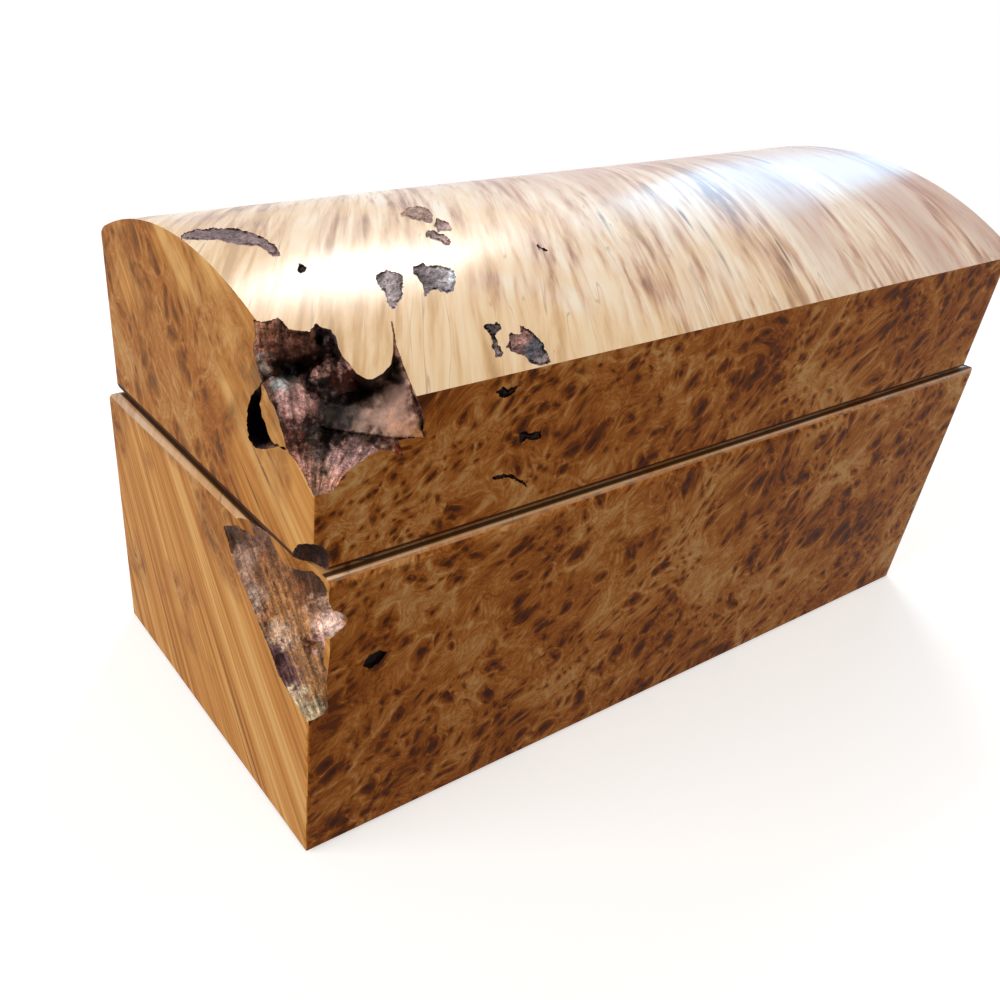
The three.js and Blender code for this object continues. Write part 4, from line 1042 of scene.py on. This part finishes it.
padded_panel("suede_floor_panel", "base_lining_floor", "base", 4.5)
padded_panel("suede_lid_panel", "lid_pad", "lid", 4.5, crown_up=-1)


# Tray: planed hardwood, oiled, with mitred corners and housed dividers. The grain runs along each board,
# with pores as fine dark dashes 2 to 6 mm long, and the oil leaves it warm and barely shiny.
GRAIN_SIZE, PORE_SIZE = (30, 2.2), (4, 0.22)


def oiled_hardwood(name, along):
    """Boards whose grain runs along X (0) or Y (1)."""
    board, tree, shader = new_material(name)
    at = in_mm(tree)
    drawn = []
    for long, wide in (GRAIN_SIZE, PORE_SIZE):
        shares = [1 / long if axis == along else 1 / wide for axis in range(3)]
        drawn.append(add(tree, "VectorMath", (at, shares), operation="MULTIPLY"))
    grain = add(tree, "TexNoise", {"Vector": drawn[0], "Scale": 1.0, "Detail": 5.0})
    pores = add(tree, "TexNoise", {"Vector": drawn[1], "Scale": 1.0, "Detail": 2.0})
    color = add(tree, "ValToRGB", (grain,), stops=[(0.3, "8f5e36"), (0.5, "b07c4b"), (0.7, "c7986a")])
    dark = add(tree, "MapRange", (pores, 0.58, 0.7, 0.0, 0.7), **EASED)
    color = add(tree, "Mix", {0: dark, 6: color, 7: "5e381d"}, 2, data_type="RGBA")
    bump = add(tree, "Bump", {"Height": pores, "Strength": 0.4, "Distance": 0.00005}, invert=True)
    wire(shader, {"Base Color": color, "Normal": bump, "Roughness": 0.48, "Specular IOR Level": 0.35})
    return board


lengthwise = ["tray_front", "tray_back", "tray_floor", "tray_middle_divider"]
crosswise = ["tray_left", "tray_right", "tray_ring_divider", "tray_open_divider"]
dress(oiled_hardwood("hardwood_lengthwise", 0), lengthwise)
dress(oiled_hardwood("hardwood_crosswise", 1), [*crosswise, "tray_runner_left", "tray_runner_right"])

for place in ("ring", "middle", "open"):
    for node in [name for name in nodes if name.startswith(f"tray_{place}_pad")]:
        padded_panel(node.replace("tray", "suede"), node, "tray", 1.0, cell=2.5, stitched=place != "ring")


# Ring rolls: six lengths of soft foam, each wrapped in suede with its ends tucked in, and set side by side on
# their panel. The suede pulls tight round the foam and puckers a little towards the ends.
ROLL_END, TUCK, PUCKERED = 1.6, 0.7, 9


def ring_roll(node, seed):
    low, high = box_mm(node)
    half, middle = (high - low) / 2, (high + low) / 2
    bm = bmesh.new()
    rod = {"segments": 28, "radius1": 1, "radius2": 1, "depth": 2 * half.x}
    bmesh.ops.create_cone(bm, cap_ends=True, matrix=Matrix.Rotation(math.pi / 2, 4, "Y"), **rod)
    longways = [e for e in bm.edges if abs(e.verts[0].co.x - e.verts[1].co.x) > half.x]
    bmesh.ops.subdivide_edges(bm, edges=longways, cuts=21)
    for end in [f for f in bm.faces if len(f.verts) > 4]:
        bmesh.ops.inset_region(bm, faces=[end], thickness=0.3)
        bmesh.ops.inset_region(bm, faces=[end], thickness=0.3)
    for v in bm.verts:
        end = max(0.0, 1 - (half.x - abs(v.co.x)) / ROLL_END)
        tight = 0.9 * (1 - 0.16 * end)
        out = math.hypot(v.co.y, v.co.z)
        if end > 0.99 and out < 0.9:
            v.co.x -= math.copysign(TUCK * (1 - out), v.co.x)
        v.co.y *= half.y * tight
        v.co.z *= half.z * tight
        v.co += middle
        if v.co.z < low.z + 0.9:
            v.co.z = low.z + 0.1 + 0.35 * (v.co.z - low.z - 0.1)
    roll = new_piece(f"suede_{node}", bm, [suede], node, "tray")
    places = filled(roll, lambda p: p.z < low.z + 0.7)
    reach = max((p - v.co).length for p, v in zip(places, roll.data.vertices)) * 1000
    share = min(1.0, 0.6 / max(reach, 1e-6))
    for p, v in zip(places, roll.data.vertices):
        v.co += (p - v.co) * share
    for v in roll.data.vertices:
        p = v.co * 1000
        near_end = max(0.0, 1 - (half.x - abs(p.x - middle.x)) / PUCKERED)
        turn = math.atan2(p.z - middle.z, p.y - middle.y)
        pucker = near_end * 0.22 * noise.noise(Vector((turn * 5, seed * 3.7, p.x / 9)))
        soft = 0.1 * noise.noise(Vector((p.x / 11, turn, seed * 5.3)))
        if p.z > low.z + 0.7:
            p += Vector((0, p.y - middle.y, p.z - middle.z)).normalized() * (pucker + soft)
        v.co = [min(max(a, b + WALL_GAP), c - WALL_GAP) / 1000 for a, b, c in zip(p, low, high)]
    finer = roll.modifiers.new("finer", "SUBSURF")
    finer.levels = finer.render_levels = 1


for number in range(1, 7):
    ring_roll(f"ring_roll_{number}", number)


# Floor and light: a pale floor that keeps a soft shadow and goes white further off, a white background,
# and studio softboxes. One lamp makes the glare on the dome's left, one a bluish light at its right end.
def area_lamp(name, toward, distance, size, power, color=(1, 1, 1)):
    """A square softbox in metres, in the given direction from the middle of the box and facing it."""
    lamp = bpy.data.objects.new(name, bpy.data.lights.new(name, "AREA"))
    scene.collection.objects.link(lamp)
    way = Vector(toward).normalized()
    lamp.location = Vector((0, 0, 0.06)) + way * distance
    lamp.rotation_mode = "QUATERNION"
    lamp.rotation_quaternion = way.to_track_quat("Z", "Y")
    lamp.data.size = size
    lamp.data.energy = power
    lamp.data.color = color


area_lamp("glare_box", (0.46, 0.52, 0.72), 1.2, 0.3, 4.6)
area_lamp("left_box", (-0.85, 0.1, 0.5), 1.3, 0.9, 9.4)
area_lamp("sky_box", (0.81, 0.46, 0.36), 1.4, 0.4, 1.8, (0.3, 0.68, 1.0))
area_lamp("fill_box", (-0.1, -0.75, 0.65), 1.5, 0.8, 5, (1.0, 0.82, 0.6))


def is_seen(tree):
    """1 for what the camera sees, straight or mirrored, and 0 for the light that falls on the object."""
    rays = add(tree, "LightPath", (), None)
    seen = add(tree, "Math", (rays["Is Camera Ray"], rays["Is Glossy Ray"]), operation="MAXIMUM")
    return add(tree, "Math", (seen, rays["Is Transmission Ray"]), operation="MAXIMUM")


floor_material, tree, shader = new_material("studio_floor")
wire(shader, {"Base Color": (0.4, 0.4, 0.4, 1), "Roughness": 1.0, "Specular IOR Level": 0.0})
far = add(tree, "VectorMath", (add(tree, "TexCoord", (), "Object"),), "Value", operation="LENGTH")
far = add(tree, "MapRange", (far, 0.2, 0.6), **EASED)
lit = add(tree, "BsdfDiffuse", {"Color": (0.72, 0.72, 0.72, 1)})
glow = add(tree, "Emission", {"Color": (1, 1, 1, 1), "Strength": 0.52})
near = add(tree, "AddShader", (lit, glow))
white = add(tree, "Emission", {"Color": (1, 1, 1, 1), "Strength": 1.0})
pale = add(tree, "MixShader", (far, near, white))
surface = add(tree, "MixShader", (is_seen(tree), shader.outputs[0], pale))
wire(tree.nodes["Material Output"], {"Surface": surface})
bm = bmesh.new()
bmesh.ops.create_grid(bm, x_segments=1, y_segments=1, size=6.0)
new_object("studio_floor", bm, [floor_material])

world = bpy.data.worlds.new("studio")
scene.world = world
world.use_nodes = True
tree = world.node_tree
strength = add(tree, "MapRange", {"Value": is_seen(tree), "To Min": 0.32, "To Max": 1.0})
wire(tree.nodes["Background"], {"Color": (1, 1, 1, 1), "Strength": strength})
